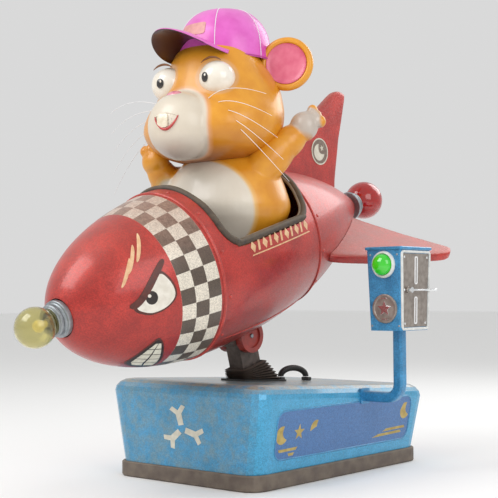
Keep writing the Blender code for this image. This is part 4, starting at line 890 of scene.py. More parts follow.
arms = {"left": [(-0.130, -0.260, 0.985), (-0.190, -0.320, 0.985), (-0.200, -0.355, 1.030),
                 (-0.205, -0.372, 1.062)], "right": [(0.140, -0.255, 1.000), (0.200, -0.195, 1.085),
                                                     (0.228, -0.160, 1.125), (0.255, -0.136, 1.162)]}
forms = [bust("body_form", torsoLevels, 0.86, None)]
for side, points in arms.items():
    shoulder, elbow, wrist, paw = (Vector(point) for point in points)
    for start, end, radius, spare in ((shoulder, elbow, 0.064, 0.064), (elbow, wrist, 0.052, 0.050)):
        long = (end - start).length * 0.5 + spare
        forms.append(egg("arm_form", (radius, radius, long), (start + end) / 2, None,
                         (end - start).to_track_quat("Z", "Y").to_matrix(), 32))
    forms.append(egg("paw_form", (0.050, 0.044, 0.050), paw, None, sides=32))
    for k in (-1, 0, 1):  # three short fingers
        reach = (paw - wrist).normalized() * 0.040 + Vector((0.018 if side == "right" else 0, 0, 0.004))
        spread = Vector((0, 1, 0)).cross(reach).normalized() * 0.026 * k
        forms.append(egg("finger_form", (0.019, 0.018, 0.021), paw + reach + spread, None, sides=20))
body = joinShapes("body_and_arms_skin", forms)
put(moulded(body, mould["cell"], mould["body"], bodyPaint), "rocker", "fur_paint", "rider_torso",
    "rider_arm_left", "rider_arm_right")
print("rider moulded")

# eyes, pupils, brows, nose and mouth
eyeWhite = surface("white_gloss_enamel", colours=("#E6DCCB", "#EFE8DC"), mottle=40, rough=(0.12, 0.2),
                   grain=(12, 0.1), Coat_Weight=0.8, Coat_Roughness=0.06)
pupilPaint = surface("black_gloss_enamel", colours=("#17110F", "#231B18"), mottle=20, rough=(0.12, 0.22),
                     Coat_Weight=0.8, Coat_Roughness=0.06)
browPaint = surface("brown_line_enamel", colours=("#6B3E18", "#7E4A1E"), mottle=10, rough=(0.4, 0.5))
nosePink = surface("pink_gloss_enamel", colours=("#D46E8A", "#DE96A2"), mottle=22, rough=(0.2, 0.32),
                   grain=(8, 0.2), Coat_Weight=0.6, Coat_Roughness=0.12)
nostrilRed = surface("dark_red_enamel", colours=("#7E1F30", "#932B3B"), mottle=10, rough=(0.3, 0.45))
lipRed = surface("red_lip_enamel", colours=("#B23B3B", "#C6504B"), mottle=12, rough=(0.25, 0.4))
mouthDark = surface("dark_mouth_enamel", colours=("#2E1614", "#41201B"), mottle=12, rough=(0.4, 0.55))
tooth = surface("cream_tooth_enamel", colours=("#DDCFB4", "#E8DDC6"), mottle=14, rough=(0.2, 0.3),
                Coat_Weight=0.6, Coat_Roughness=0.1)
looks = {"right": -2.0, "left": 12.0}  # degrees from straight ahead
iris = dict(radii=(0.0135, 0.0165, 0.0045), glint=(0.0034, 0.0042, 0.0015), glintAt=(0.004, 0.006, 0.0036),
            dip=-0.05)
browLine = dict(start=52, sweep=76, steps=12, clearX=0.004, clearZ=0.006, forward=-0.034, radius=0.0028)
for side, spot in eyesAt.items():
    put(egg("eye_ball_" + side, face["eye"], spot, eyeWhite, faceTurn.to_3x3(), 64), "rocker", "eye_gloss",
        "rider_eye_" + side)
    turn = math.radians(looks[side])
    ahead = Vector((math.sin(turn), -math.cos(turn), iris["dip"])).normalized()
    on = spot + Vector([r * a for r, a in zip(face["eye"], ahead)])
    facing = ahead.to_track_quat("Z", "Y").to_matrix()
    put(egg("pupil_" + side, iris["radii"], on, pupilPaint, facing, 32), "rocker", "black_plastic")
    glint = on + facing @ Vector(iris["glintAt"])
    put(egg("glint_" + side, iris["glint"], glint, eyeWhite, facing, 16), "rocker", "eye_gloss")
    brow = []
    for k in range(browLine["steps"] + 1):
        a = math.radians(browLine["start"] + browLine["sweep"] * k / browLine["steps"])
        out = Vector((math.cos(a) * (face["eye"][0] + browLine["clearX"]), browLine["forward"],
                      math.sin(a) * (face["eye"][2] + browLine["clearZ"])))
        brow.append(spot + faceTurn.to_3x3() @ out)
    put(tube("brow_" + side, brow, browLine["radius"], browPaint,
             taper=lambda t: 0.35 + 1.1 * math.sin(math.pi * t)), "rocker", "fur_paint")

noseAt = onFace(0, face["noseForward"], face["noseZ"])
nose = joinShapes("nose_pad", [egg("pad", (0.036, 0.026, 0.0215), noseAt, None, faceTurn.to_3x3(), 40),
                               egg("pad", (0.018, 0.020, 0.018), noseAt + Vector((0, 0.004, -0.012)), None,
                                   faceTurn.to_3x3(), 32)])
put(moulded(nose, 0.0022, 6, nosePink), "rocker", "fur_paint")
for side in (-1, 1):
    spot = onFace(side * 0.015, face["noseForward"] + 0.0235, face["noseZ"] - 0.0085)
    put(egg("nostril_" + ("left" if side < 0 else "right"), (0.0082, 0.0045, 0.0052), spot, nostrilRed,
            Matrix.Rotation(math.radians(side * 22), 3, "Y") @ faceTurn.to_3x3(), 20), "rocker", "fur_paint")

mouth = dict(turn=14.0, rise=0.006, half=0.043, top=0.024, drop=0.032)


def onMuzzle(u, v, lift):  # u across, v up, from the mouth's middle
    around = math.radians(mouth["turn"]) + u / (face["muzzle"][0] * 0.98)
    up = (mouth["rise"] + v) / face["muzzle"][2]
    spot = Vector([(r - 0.0012 + lift) * a for r, a in zip(face["muzzle"], (
        math.sin(around) * math.cos(up), -math.cos(around) * math.cos(up), math.sin(up)))])
    return tuple(muzzleAt + spot)


smile = [(-mouth["half"], mouth["top"] * 0.55)]
for k in range(1, 24):
    t = k / 24
    smile.append((-mouth["half"] + 2 * mouth["half"] * t,
                  mouth["top"] * (0.55 + 0.45 * math.sin(math.pi * t))))
smile.append((mouth["half"], mouth["top"] * 0.55))
lower = []
for k in range(1, 24):
    t = k / 24
    lower.append((mouth["half"] - 2 * mouth["half"] * t,
                  mouth["top"] * 0.55 - (mouth["drop"] + mouth["top"] * 0.4)
                  * math.sin(math.pi * t) ** 0.75))
put(transfer("mouth_opening", [smile + lower], onMuzzle, mouthDark, step=0.006), "rocker", "black_plastic")
lip = [onMuzzle(u, v, 0.0025) for u, v in [smile[-1]] + lower + [smile[0]]]
put(tube("lower_lip", lip, 0.0042, lipRed, taper=lambda t: 0.45 + 0.75 * math.sin(math.pi * t)), "rocker",
    "fur_paint")
lipTop = [onMuzzle(u, v, 0.0012) for u, v in smile]
put(tube("upper_lip", lipTop, 0.0024, creamPaint), "rocker", "fur_paint")
bite = [(u - 0.010, v - 0.001) for u, v in roundedRectangle(0.0185, 0.0215, 0.007)]
put(transfer("front_tooth", [bite], onMuzzle, tooth, step=0.004, thick=0.0055), "rocker", "eye_gloss")

# whiskers: nylon bristles with a long even droop
bristle = surface("pale_nylon_bristle", colours=("#D9B9A2", "#E7CFBB"), mottle=12, rough=(0.3, 0.4))
whisker = dict(radius=0.0010, length=0.250, drop=0.085)
for side in (-1, 1):
    strands = []
    for k in range(5):
        root = onFace(side * (0.104 + 0.010 * k), 0.198 - 0.016 * k, 1.232 - 0.017 * k)
        rise = 0.30 - 0.20 * k
        out = (faceTurn.to_3x3() @ Vector((side * math.cos(0.55),
                                           -math.sin(0.55) * (0.75 if side > 0 else 0.35), 0)))
        line = []
        for j in range(15):
            t = j / 14
            line.append(root + out * whisker["length"] * t
                        + Vector((0, 0.10 * t * t * (1 if side > 0 else 0.4),
                                  rise * 0.25 * t - whisker["drop"] * t * t)))
        strands.append(tube("strand", line, whisker["radius"], bristle, sides=2,
                            taper=lambda t: 1.15 - 0.6 * t))
    put(joinShapes("whiskers_" + ("left" if side < 0 else "right"), strands), "rocker", "fur_paint")
print("face painted")

# ears: thick rims round a pink dish
earPink = surface("pink_ear_enamel", colours=("#D45E7B", "#E0748C"), mottle=34, rough=(0.3, 0.42),
                  grain=(10, 0.2), Coat_Weight=0.3, Coat_Roughness=0.2)
ear = dict(x=0.212, y=-0.170, z=1.371, turn=28.0)
earLine = smoothLine([(0.045, -0.018), (0.066, -0.0175), (0.082, -0.012), (0.0895, -0.001), (0.0885, 0.010),
                      (0.0815, 0.0172), (0.0735, 0.0172), (0.0685, 0.0115), (0.0665, 0.0055),
                      (0.060, 0.0028)], 4)
dishLine = smoothLine([(0.0001, 0.0015), (0.030, 0.0020), (0.052, 0.0042), (0.0635, 0.0085),
                       (0.0680, 0.0125)], 4)
for side, name in ((1, "right"), (-1, "left")):
    at = Matrix.Translation((side * ear["x"], ear["y"], ear["z"])) @ Matrix.Rotation(
        math.radians(side * ear["turn"]), 4, "Z") @ Matrix.Rotation(math.pi / 2, 4, "X")
    rim = [(0.0, -0.018)] + earLine + [(0.0, 0.0026)]
    put(revolve("ear_rim_" + name, rim, orange, at, 80, 1.0, "Z", loop=False, sharp=50), "rocker",
        "fur_paint", "rider_ear_" + name)
    dish = [(0.0, 0.0032)] + [(r, z + 0.0014) for r,
                              z in dishLine[1:]] + [(r, z - 0.001) for r, z in dishLine[:0:-1]]
    put(revolve("ear_dish_" + name, dish + [(0.0, 0.0008)], earPink, at, 72, 1.0, "Z", loop=False, sharp=50),
        "rocker", "fur_paint")
print("ears set")

# cap: spun crown with stitched-looking seams, thin drooping brim with painted shadow beneath
cap = dict(at=(0, -0.247, 0), depth=0.97, wall=0.005, thick=0.006, dome=0.006, lip=0.0025)
# the brim's root on the crown and its outer edge: half width, reach forward, height, droop at the sides
brimRoot = dict(half=0.158, reach=0.153, z=1.4525, droop=0.056, share=0.55)
brimEdge = dict(half=0.128, y=-0.370, reach=0.180, z=1.4406, droop=0.050, lift=0.0156)


def paintCap(tree, place, colour, cloud):  # painted shadow: the faces that look down, under the brim and crown, painted dark maroon
    up = addNode(tree, "SeparateXYZ", {0: addNode(tree, "NewGeometry").outputs["Normal"]})
    under = addNode(tree, "MapRange", {"Value": up.outputs["Z"], "From Min": -0.25, "From Max": -0.45})
    return laidOver(tree, colour, [(under, "#3A1214")])


# pink gloss enamel, faded in patches
capPink = surface("pink_gloss_enamel_cap", paintCap, colours=("#D24FB2", "#E268C6"), mottle=60,
                  rough=(0.3, 0.42), grain=(7, 0.2), chips=("#A83C88", 8, 0.27), dust=("#E3A0CC", 0.25),
                  Coat_Weight=0.35, Coat_Roughness=0.2)
patchPaint = surface("tan_pink_enamel", colours=("#CF8F8C", "#DDA49A"), mottle=20, rough=(0.4, 0.5),
                     grain=(5, 0.15), chips=("#C861A6", 6, 0.33))
seamPaint = surface("dark_pink_enamel", colours=("#A93F8C", "#B94B9B"), mottle=16, rough=(0.35, 0.5))
crownLine = smoothLine([(0.0001, 1.570), (0.040, 1.5685), (0.072, 1.563), (0.100, 1.551), (0.130, 1.523),
                        (0.150, 1.488), (0.160, 1.450), (0.164, 1.405), (0.164, 1.388)], 4)
wallIn = [(max(r - cap["wall"], 0.0001), z - cap["wall"]) for r, z in crownLine[:-3]] + [(0.159, 1.388)]
crown = revolve("cap_crown", [(0, 1.570)] + crownLine[1:] + wallIn[::-1][:-1] + [(0, 1.565)], capPink,
                Matrix.Translation(cap["at"]), 112, cap["depth"], "Z", loop=False, sharp=50)
put(crown, "rocker", "cap_paint", "rider_cap")
brimRings = []
for k in range(49):
    turn = math.pi * (k / 48 - 0.5)
    droop = math.sin(turn) ** 2
    across = brimRoot["share"] * turn
    root = Vector((brimRoot["half"] * math.sin(across), cap["at"][1] - brimRoot["reach"] * math.cos(across),
                   brimRoot["z"] - brimRoot["droop"] * droop))
    edge = Vector((brimEdge["half"] * math.sin(turn), brimEdge["y"] - brimEdge["reach"] * math.cos(turn),
                   brimEdge["z"] - brimEdge["droop"] * droop + brimEdge["lift"] * math.cos(turn)))
    top = [root.lerp(edge, j / 9) + Vector((0, 0, cap["thick"] / 2 + cap["dome"] * math.sin(math.pi * j / 9)))
           for j in range(10)]
    low = [point - Vector((0, 0, cap["thick"])) for point in top]
    lip = edge + (edge - root).normalized() * cap["lip"]
    brimRings.append(top + [lip] + low[::-1])
brim = ringLoft("cap_brim", brimRings, capPink, sharp=60)
put(brim, "rocker", "cap_paint")


def onCrown(around, height, lift=0.0):  # degrees from straight ahead towards +X
    radius = 0.0
    for (r0, z0), (r1, z1) in zip(crownLine, crownLine[1:]):
        if z1 <= height <= z0:
            radius = r0 + (r1 - r0) * (z0 - height) / max(z0 - z1, 1e-6)
    turn = math.radians(around)
    return Vector((math.sin(turn) * (radius + lift),
                   cap["at"][1] - math.cos(turn) * cap["depth"] * (radius + lift), height))


seams = []
for k in range(6):
    line = [onCrown(30 + 60 * k, 1.5695 - 0.181 * (t / 20) ** 1.5, 0.0004) for t in range(21)]
    seams.append(tube("seam", line, 0.0013, seamPaint, sides=2))
put(joinShapes("cap_seams", seams), "rocker", "cap_paint")
band = [onCrown(360 * k / 96, 1.392, 0.0006) for k in range(96)]
put(tube("cap_hem", band, 0.0022, seamPaint, closed=True), "rocker", "cap_paint")
patch = dict(half=(0.055, 0.021), corner=0.009, turn=-4, z=1.484)


def onPatch(u, v, lift):
    return tuple(onCrown(math.degrees(u / 0.150) + patch["turn"], patch["z"] + v, lift))


put(transfer("cap_patch", [roundedRectangle(*patch["half"], patch["corner"], 5)], onPatch, patchPaint,
             step=0.006, thick=0.0016), "rocker", "cap_paint")
button = egg("cap_button", (0.014, 0.014, 0.0075), (0, cap["at"][1], 1.5705), seamPaint, sides=32)
put(button, "rocker", "cap_paint")
print("cap sewn")

# ---- painted eyes and teeth on the nose, and films on the flanks


def flank(u, v, lift):  # station and height on the +X side
    return beside(u, v, lift)


def under(u, v, lift):  # station and distance round the hull
    return onHull(u, v / 0.22, lift)


def grown(loop, by):
    x, y = sum(p[0] for p in loop) / len(loop), sum(p[1] for p in loop) / len(loop)
    return [(x + (px - x) * by, y + (py - y) * by) for px, py in loop]


def onFlank(name, loop, finish, lift, step=0.012, wrap=flank):
    return put(transfer(name, [loop], wrap, finish, rocket, step, 0.0005, lift), "rocker", None)


def oval(x, y, halfX, halfY, count=48):
    turns = [2 * math.pi * k / count for k in range(count)]
    return [(x + halfX * math.cos(turn), y + halfY * math.sin(turn)) for turn in turns]


angry = smoothLine([(0.142, -0.014), (0.165, 0.010), (0.196, 0.040), (0.232, 0.066), (0.252, 0.044),
                    (0.262, 0.012), (0.257, -0.012), (0.234, -0.030), (0.205, -0.038), (0.174, -0.036)], 4,
                   closed=True)
onFlank("nose_eye_edge", grown(angry, 1.13), inkFilm, 0.0003)
onFlank("nose_eye_white", angry, noseWhite, 0.0008)
onFlank("nose_pupil", oval(0.188, 0.006, 0.018, 0.020, 32), blackFilm, 0.0013, 0.006)
onFlank("nose_glint", oval(0.182, 0.013, 0.005, 0.005, 20), noseWhite, 0.0018, 0.006)
scowl = smoothLine([(0.122, 0.000), (0.150, 0.016), (0.186, 0.050), (0.222, 0.083), (0.252, 0.104),
                    (0.262, 0.100), (0.250, 0.084), (0.222, 0.058), (0.190, 0.026), (0.160, -0.002),
                    (0.134, -0.014)], 3, closed=True)
onFlank("nose_brow", scowl, inkFilm, 0.0014)
for k, (s, h) in enumerate(((0.118, 0.060), (0.150, 0.092), (0.188, 0.118))):
    streak = [(s, h), (s + 0.012, h + 0.004), (s + 0.050, h + 0.052), (s + 0.058, h + 0.070),
              (s + 0.040, h + 0.052)]
    onFlank("brow_streak_%d" % (k + 1), smoothLine(streak, 3, closed=True), tanFilm, 0.0005)

jaw = smoothLine([(0.209, -0.138), (0.190, -0.158), (0.175, -0.182), (0.160, -0.222), (0.155, -0.265),
                  (0.185, -0.290), (0.225, -0.300), (0.259, -0.294), (0.262, -0.262), (0.252, -0.222),
                  (0.238, -0.182), (0.226, -0.155)], 3, closed=True)
onFlank("nose_mouth_edge", grown(jaw, 1.10), inkFilm, 0.0003, wrap=under)
onFlank("nose_mouth", jaw, blackFilm, 0.0008, wrap=under)
front = [(-0.150, 0.203), (-0.180, 0.182), (-0.220, 0.167), (-0.262, 0.162), (-0.286, 0.186)]
rear = [(-0.150, 0.224), (-0.180, 0.234), (-0.220, 0.248), (-0.262, 0.257), (-0.286, 0.258)]


def readOff(line, v):  # station of a line at that distance round
    for (v0, s0), (v1, s1) in zip(line, line[1:]):
        if v1 <= v <= v0:
            return s0 + (s1 - s0) * (v0 - v) / (v0 - v1)


for k in range(5):
    high, low = -0.152 - 0.026 * k, -0.1745 - 0.026 * k
    a, b = readOff(front, high), readOff(front, low)
    c, d = readOff(rear, low), readOff(rear, high)
    onFlank("nose_tooth_front_%d" % (k + 1), [(a + 0.003, high), (b + 0.003, low), (b + 0.46 * (c - b), low),
                                              (a + 0.46 * (d - a), high)], creamFilm, 0.0013, wrap=under)
    onFlank("nose_tooth_rear_%d" % (k + 1), [(a + 0.54 * (d - a), high), (b + 0.54 * (c - b), low),
                                             (c - 0.003, low), (d - 0.003, high)], creamFilm, 0.0013,
            wrap=under)

# a row of plain diamonds and bars along the flank
strip = dict(start=0.590, end=0.925, low=0.030, high=0.074)
loops = []
marks = 11
mid = (strip["low"] + strip["high"]) / 2
for k in range(marks):
    s = strip["start"] + (strip["end"] - strip["start"]) * (k + 0.5) / marks
    if k % 2:
        loops.append([(s - 0.0095, strip["low"] + 0.006), (s + 0.0005, strip["low"] + 0.006),
                      (s + 0.0075, strip["high"] - 0.006), (s - 0.0025, strip["high"] - 0.006)])
    else:
        loops.append([(s - 0.013, mid), (s, strip["low"] + 0.003), (s + 0.013, mid),
                      (s, strip["high"] - 0.003)])
for low in (strip["low"] - 0.005, strip["high"] + 0.001):
    loops.append([(strip["start"], low), (strip["end"], low), (strip["end"] - 0.006, low + 0.004),
                  (strip["start"] + 0.006, low + 0.004)])
put(transfer("flank_ornament", loops, flank, tanFilm, rocket, 0.012), "rocker", None)

# a moon and star disc on the top fin


def star(x, y, radius, points=5, depth=0.42, turn=0.0):
    line = []
    for k in range(2 * points):
        reach = radius if k % 2 == 0 else radius * depth
        a = math.pi / 2 + math.pi * k / points + turn
        line.append((x + reach * math.cos(a), y + reach * math.sin(a)))
    return line


def crescent(x, y, radius, turn=0.0, bite=0.74):
    line = []
    for k in range(25):
        a = math.radians(52 + 256 * k / 24) + turn
        line.append((x + radius * math.cos(a), y + radius * math.sin(a)))
    start, end = Vector(line[-1]), Vector(line[0])
    middle = (start + end) / 2
    away = Vector((math.cos(math.pi + turn), math.sin(math.pi + turn))) * radius * bite
    for k in range(1, 16):
        t = k / 16
        line.append(tuple((start * (1 - t) ** 2 + (middle + away * 1.55) * 2 * t * (1 - t) + end * t ** 2)))
    return line


disc = dict(s=1.345, h=0.240, radius=0.050, field=0.045)
for side, name in ((1, "right"), (-1, "left")):
    def onFin(u, v, lift, side=side):
        return (side * (0.0172 + lift), u, v)
    for label, loops, finish, lift in (
            ("edge", [oval(disc["s"], disc["h"], disc["radius"], disc["radius"])], creamFilm, 0.0003),
            ("field", [oval(disc["s"], disc["h"], disc["field"], disc["field"])], greyFilm, 0.0008),
            ("moon", [crescent(disc["s"] - 0.006, disc["h"] - 0.002, 0.031, 0.5), star(disc["s"] + 0.014,
             disc["h"] + 0.010, 0.012)], creamFilm, 0.0013)):
        put(transfer("fin_disc_%s_%s" % (label, name), loops, onFin, finish, rocket, 0.02, 0.0005, lift),
            "rocker", None)
print("films laid")

# ---- base: blue metalflake shell, side panels painted darker as painted shade, films on its front and side

shell = dict(footX=0.302, footY=0.459, footZ=0.0503, topX=0.338, topY=0.472, fillet=0.042, deckZ=0.328,
             fall=-0.0551)
panel = dict(low=0.088, high=0.242, radius=0.035, edge=0.085)


def deckAt(y):
    return shell["deckZ"] + shell["fall"] * (y + shell["topY"])


def leaning(y, z):  # how far out the side wall stands at that height
    part = (z - shell["footZ"]) / (deckAt(y) - shell["fillet"] - shell["footZ"])
    return shell["footX"] + (shell["topX"] - shell["footX"]) * part


def paintShell(tree, place, colour, cloud):
    at = addNode(tree, "SeparateXYZ", {0: place})
    facing = addNode(tree, "SeparateXYZ", {0: addNode(tree, "NewGeometry").outputs["Normal"]})
    side = addNode(tree, "Math", {0: facing.outputs["X"]}, operation="ABSOLUTE")
    onSide = addNode(tree, "MapRange", {"Value": side, "From Min": 0.86, "From Max": 0.92})
    # rounded panel: how far the point lies outside a smaller rectangle
    length = addNode(tree, "Math", {0: at.outputs["Y"]}, operation="ABSOLUTE")
    overY = addNode(tree, "Math", {0: length, 1: 0.459 - panel["edge"] - panel["radius"]},
                    operation="SUBTRACT")
    overY = addNode(tree, "Math", {0: overY, 1: 0.0}, operation="MAXIMUM")
    middle, half = (panel["low"] + panel["high"]) / 2, (panel["high"] - panel["low"]) / 2 - panel["radius"]
    height = addNode(tree, "Math", {0: at.outputs["Z"], 1: middle}, operation="SUBTRACT")
    height = addNode(tree, "Math", {0: height}, operation="ABSOLUTE")
    overZ = addNode(tree, "Math", {0: height, 1: half}, operation="SUBTRACT")
    overZ = addNode(tree, "Math", {0: overZ, 1: 0.0}, operation="MAXIMUM")
    off = addNode(tree, "CombineXYZ", {"X": overY, "Y": overZ})
    off = addNode(tree, "VectorMath", {0: off}, operation="LENGTH")
    # painted shade: inside the panel outline the side walls are painted a darker royal blue
    panelShade = addNode(tree, "MapRange", {"Value": off, "From Min": panel["radius"],
                                         "From Max": panel["radius"] - 0.003})
    panelShade = addNode(tree, "Math", {0: panelShade, 1: onSide}, operation="MULTIPLY")
    # the front face greyed in noisy patches, partly scuffing and partly painted reflection; the fillet and
    # deck that face up tinted tan as painted reflection
    front = addNode(tree, "MapRange", {"Value": facing.outputs["Y"], "From Min": -0.75, "From Max": -0.92})
    scuffAndSheenNoise = addNode(tree, "TexNoise", {"Vector": place, "Scale": scaleFor(45), "Detail": 9.0,
                                       "Roughness": 0.75})
    rub = addNode(tree, "MapRange", {"Value": scuffAndSheenNoise, "From Min": 0.42, "From Max": 0.60, "To Max": 0.75})
    rub = addNode(tree, "Math", {0: rub, 1: front}, operation="MULTIPLY")
    above = addNode(tree, "MapRange", {"Value": facing.outputs["Z"], "From Min": 0.45, "From Max": 0.9})
    deckTanReflection = addNode(tree, "MapRange", {"Value": scuffAndSheenNoise, "From Min": 0.36, "From Max": 0.55})
    deckTanReflection = addNode(tree, "Math", {0: deckTanReflection, 1: above}, operation="MULTIPLY")
    # painted highlight: the rounded corners, half turned to the side, lightened to cyan
    column = addNode(tree, "MapRange", {"Value": side, "From Min": 0.30, "From Max": 0.75, "To Max": 0.35})
    return laidOver(tree, colour, [(column, "#45B4DC"), (panelShade, "#3F6FA6"),
                                   (rub, "#6E8E98"), (deckTanReflection, "#A2977F")])


bluePaint = surface("blue_metalflake_gelcoat", paintShell, **blueCoat)
blueEnamel = surface("blue_metalflake_enamel", **dict(blueCoat, colours=("#2F7FAE", "#3F93C4"), mottle=40,
                                                      grain=(10, 0.2)))


def onSide(u, v, lift):  # world Y and Z on the wall towards +X
    return (leaning(u, v) + lift, u, v)


def onFront(u, v, lift):  # world X and Z on the front wall
    part = (v - shell["footZ"]) / (shell["deckZ"] - shell["fillet"] - shell["footZ"])
    return (u, -(shell["footY"] + (shell["topY"] - shell["footY"]) * part) - lift, v)


# a raised moulding round each side panel
for side, name in ((1, "right"), (-1, "left")):
    line = []
    for y, z in roundedRectangle(0.459 - panel["edge"], (panel["high"] - panel["low"]) / 2, panel["radius"],
                                 8, 24):
        z += (panel["low"] + panel["high"]) / 2
        line.append((side * (leaning(y, z) - 0.0008), y, z))
    put(tube("side_panel_bead_" + name, line, 0.0034, blueEnamel, closed=True), "base", "blue_flake_paint")

# five moons and four stars climbing gently, over two slanting bars
row = dict(count=9, start=-0.345, step=0.0855, low=0.166, climb=0.024, size=0.029)
loops = []
for k in range(row["count"]):
    y = row["start"] + row["step"] * k
    z = row["low"] + row["climb"] * k / (row["count"] - 1)
    size = row["size"] * (1.0 if k % 2 == 0 else 0.92)
    loops.append(crescent(y, z, size, 0.35, 0.60) if k % 2 == 0 else star(y, z, size))
put(transfer("side_moons_and_stars", loops, onSide, gold, None, 0.02), "base", None)
bars, bar = [], dict(end=0.352, slant=0.006, rise=0.016, wide=0.009)
for low, inset in ((0.112, 0.0), (0.097, 0.05)):
    start, end = -bar["end"] + inset, bar["end"] - inset * 0.4
    bars.append([(start, low), (end, low + bar["rise"]), (end - bar["slant"],
                                                          low + bar["rise"] + bar["wide"]),
                 (start - bar["slant"], low + bar["wide"])])
put(transfer("side_bars", bars, onSide, gold, None, 0.03), "base", None)

# three-armed burst on the front, plain and unlike any badge
burst = []
for k in range(3):
    a = math.pi / 2 + 2 * math.pi * k / 3 + 0.22
    along, across = Vector((math.cos(a), math.sin(a))), Vector((-math.sin(a), math.cos(a)))
    arm = [along * 0.014 + across * 0.011, along * 0.056 + across * 0.012, along * 0.078 + across * 0.034,
           along * 0.088 + across * 0.020, along * 0.070, along * 0.088 - across * 0.020,
           along * 0.078 - across * 0.034, along * 0.056 - across * 0.012, along * 0.014 - across * 0.011]
    burst.append([(point.x * 1.05 + 0.006, point.y * 0.86 + 0.176) for point in arm])
put(transfer("front_burst", burst, onFront, creamFilm, None, 0.02, 0.0006), "base", None)

# boot: seven deep folds from the deck frame to the leaning arm
boot = dict(folds=7, reach=0.214, halfX=0.047, footHalfY=0.0969, topHalfY=0.059, slotY=-0.1013, wall=0.0022,
            swell=0.0045)
bootFoot = Vector((0, boot["slotY"], deckAt(boot["slotY"]) + 0.0066))
bootTop = rockAxis + Vector((0, -boot["reach"] * math.sin(pitch), boot["reach"] * math.cos(pitch)))


def bootRing(part, swell):
    turn = Matrix.Rotation(-0.055 + (pitch + 0.055) * part, 3, "X")
    halfY = boot["footHalfY"] * (1 - part) + boot["topHalfY"] * part + swell
    line = roundedRectangle(boot["halfX"] + swell, halfY, 0.014 + swell, 5, 8)
    return [tuple(bootFoot.lerp(bootTop, part) + turn @ Vector((x, y, 0))) for x, y in line]


bootRings = []
for side in (0, 1):
    for k in range(boot["folds"] * 6 + 1)[::-1 if side else 1]:
        part = k / (boot["folds"] * 6)
        wave = boot["swell"] * math.cos(2 * math.pi * (part * boot["folds"] + 0.5)) - 0.001
        bootRings.append(bootRing(part, wave - side * boot["wall"]))
bellows = ringLoft("boot_bellows_skin", bootRings, bootRubber, sharp=60, joined=True)
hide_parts("boot_bellows")
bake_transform(bellows)

# corrugated cable guard behind the arm
ribbed = []
for k in range(241):
    t = k / 240
    y = 0.045 + 0.145 * (0.5 - 0.5 * math.cos(math.pi * t))
    ribbed.append((0, y, deckAt(y) + 0.0145 + 0.030 * math.sin(math.pi * t)))
put(tube("ribbed_conduit", ribbed, 0.0110, blackPlastic,
         taper=lambda t: 0.94 + 0.06 * math.cos(math.pi * 76 * t)), "base", "black_plastic", "lamp_conduit")
print("base dressed")

# ---- coin box: frame, slot lips, screws, lit button, medallion

box = dict(x=0.480, y=0.080, halfX=0.067, halfY=0.090, taper=0.90, low=0.484, high=0.748, buttonZ=0.700,
           coinZ=0.556)
# white stove enamel: clean gloss with rubbed spots
boxWhite = surface("white_enamel_frame", colours=("#C9CBC8", "#DCDDD9"), mottle=20, rough=(0.3, 0.45),
                   chips=("#8E857E", 5, 0.32), Coat_Weight=0.3)


def boxHalf(z):
    share = box["taper"] + (1 - box["taper"]) * (z - box["low"]) / (box["high"] - box["low"])
    return box["halfX"] * share, box["halfY"] * share


def onPanel(y, z, lift=0.001):
    return (box["x"] + boxHalf(z)[0] + lift, box["y"] + y, z)


def onBoxFront(x, z, lift=0.0):
    return (box["x"] + x, box["y"] - boxHalf(z)[1] - lift, z)


edgeLine = []
for y, z in roundedRectangle(1.0, 1.0, 0.09, 5, 8):
    height = (box["low"] + box["high"]) / 2 + z * (0.132 - 0.006)
    edgeLine.append(onPanel(y * (boxHalf(height)[1] - 0.006), height, 0.0004))
put(tube("panel_frame", edgeLine, 0.0046, boxWhite, closed=True), "base", "steel")
lips = []
for low, high in ((0.640, 0.722), (0.510, 0.590)):
    line = [onPanel(y, (low + high) / 2 + z, 0.0016)
            for y, z in roundedRectangle(0.0062, (high - low) / 2 + 0.0026, 0.0035, 5, 6)]
    lips.append(tube("lip", line, 0.0026, chrome, closed=True))
put(joinShapes("slot_lips", lips), "base", "chrome")
outX = Vector((1, 0, 0))
heads = [(onPanel(y * (boxHalf(z)[1] - 0.021), z, 0.0008),
          outX) for y in (-1, 1) for z in (0.508, 0.617, 0.724)]
put(studs("panel_screws", heads, 0.0042, 0.0019, chrome), "base", "chrome")
heads = [(onBoxFront(x, z, -0.0002), Vector((0, -1, 0))) for x in (-0.052, 0.052) for z in (0.500, 0.732)]
put(studs("front_screws", heads, 0.0038, 0.0017, galvanised), "base", "steel")


# start button: clear green dome, brightest over its lamp
def paintLens(tree, place, colour, cloud):
    middle = (box["x"], box["y"] - boxHalf(box["buttonZ"])[1] - 0.03, box["buttonZ"])
    return laidOver(tree, colour, [(blob(tree, place, middle, (0.03, 0.05, 0.03), (1.0, 0.25)), "#4DE81B")])


lens = surface("lit_green_polycarbonate", paintLens, colours=("#1F9412", "#27A818"), mottle=30,
               rough=(0.1, 0.2), Coat_Weight=1.0, Coat_Roughness=0.05, IOR=1.58,
               Emission_Color=linear("#2FD914"), Emission_Strength=0.35)
facing = Matrix.Translation(onBoxFront(0, box["buttonZ"])) @ Matrix.Rotation(math.pi / 2, 4, "X")
dome = [(0.0001, 0.036)] + [(0.034 * math.cos(a), 0.012 + 0.024 * math.sin(a)) for a in
                            (math.pi / 2 * (1 - k / 14) for k in range(1, 15))]
dome += [(0.034, 0.0062), (0.0115, 0.0060), (0.0115, -0.014), (0.0001, -0.014)]
put(revolve("button_dome", dome, lens, facing, 72, 1.0, "Z", loop=False, sharp=50), "start_button",
    "button_lens", "start_button")
ringLine = smoothLine([(0.0365, 0.0100), (0.0395, 0.0098), (0.0425, 0.0072), (0.0445, 0.0030),
                       (0.0445, 0.0003)], 4)
ringLine = [(0.0360, 0.0008), (0.0360, 0.0092)] + ringLine
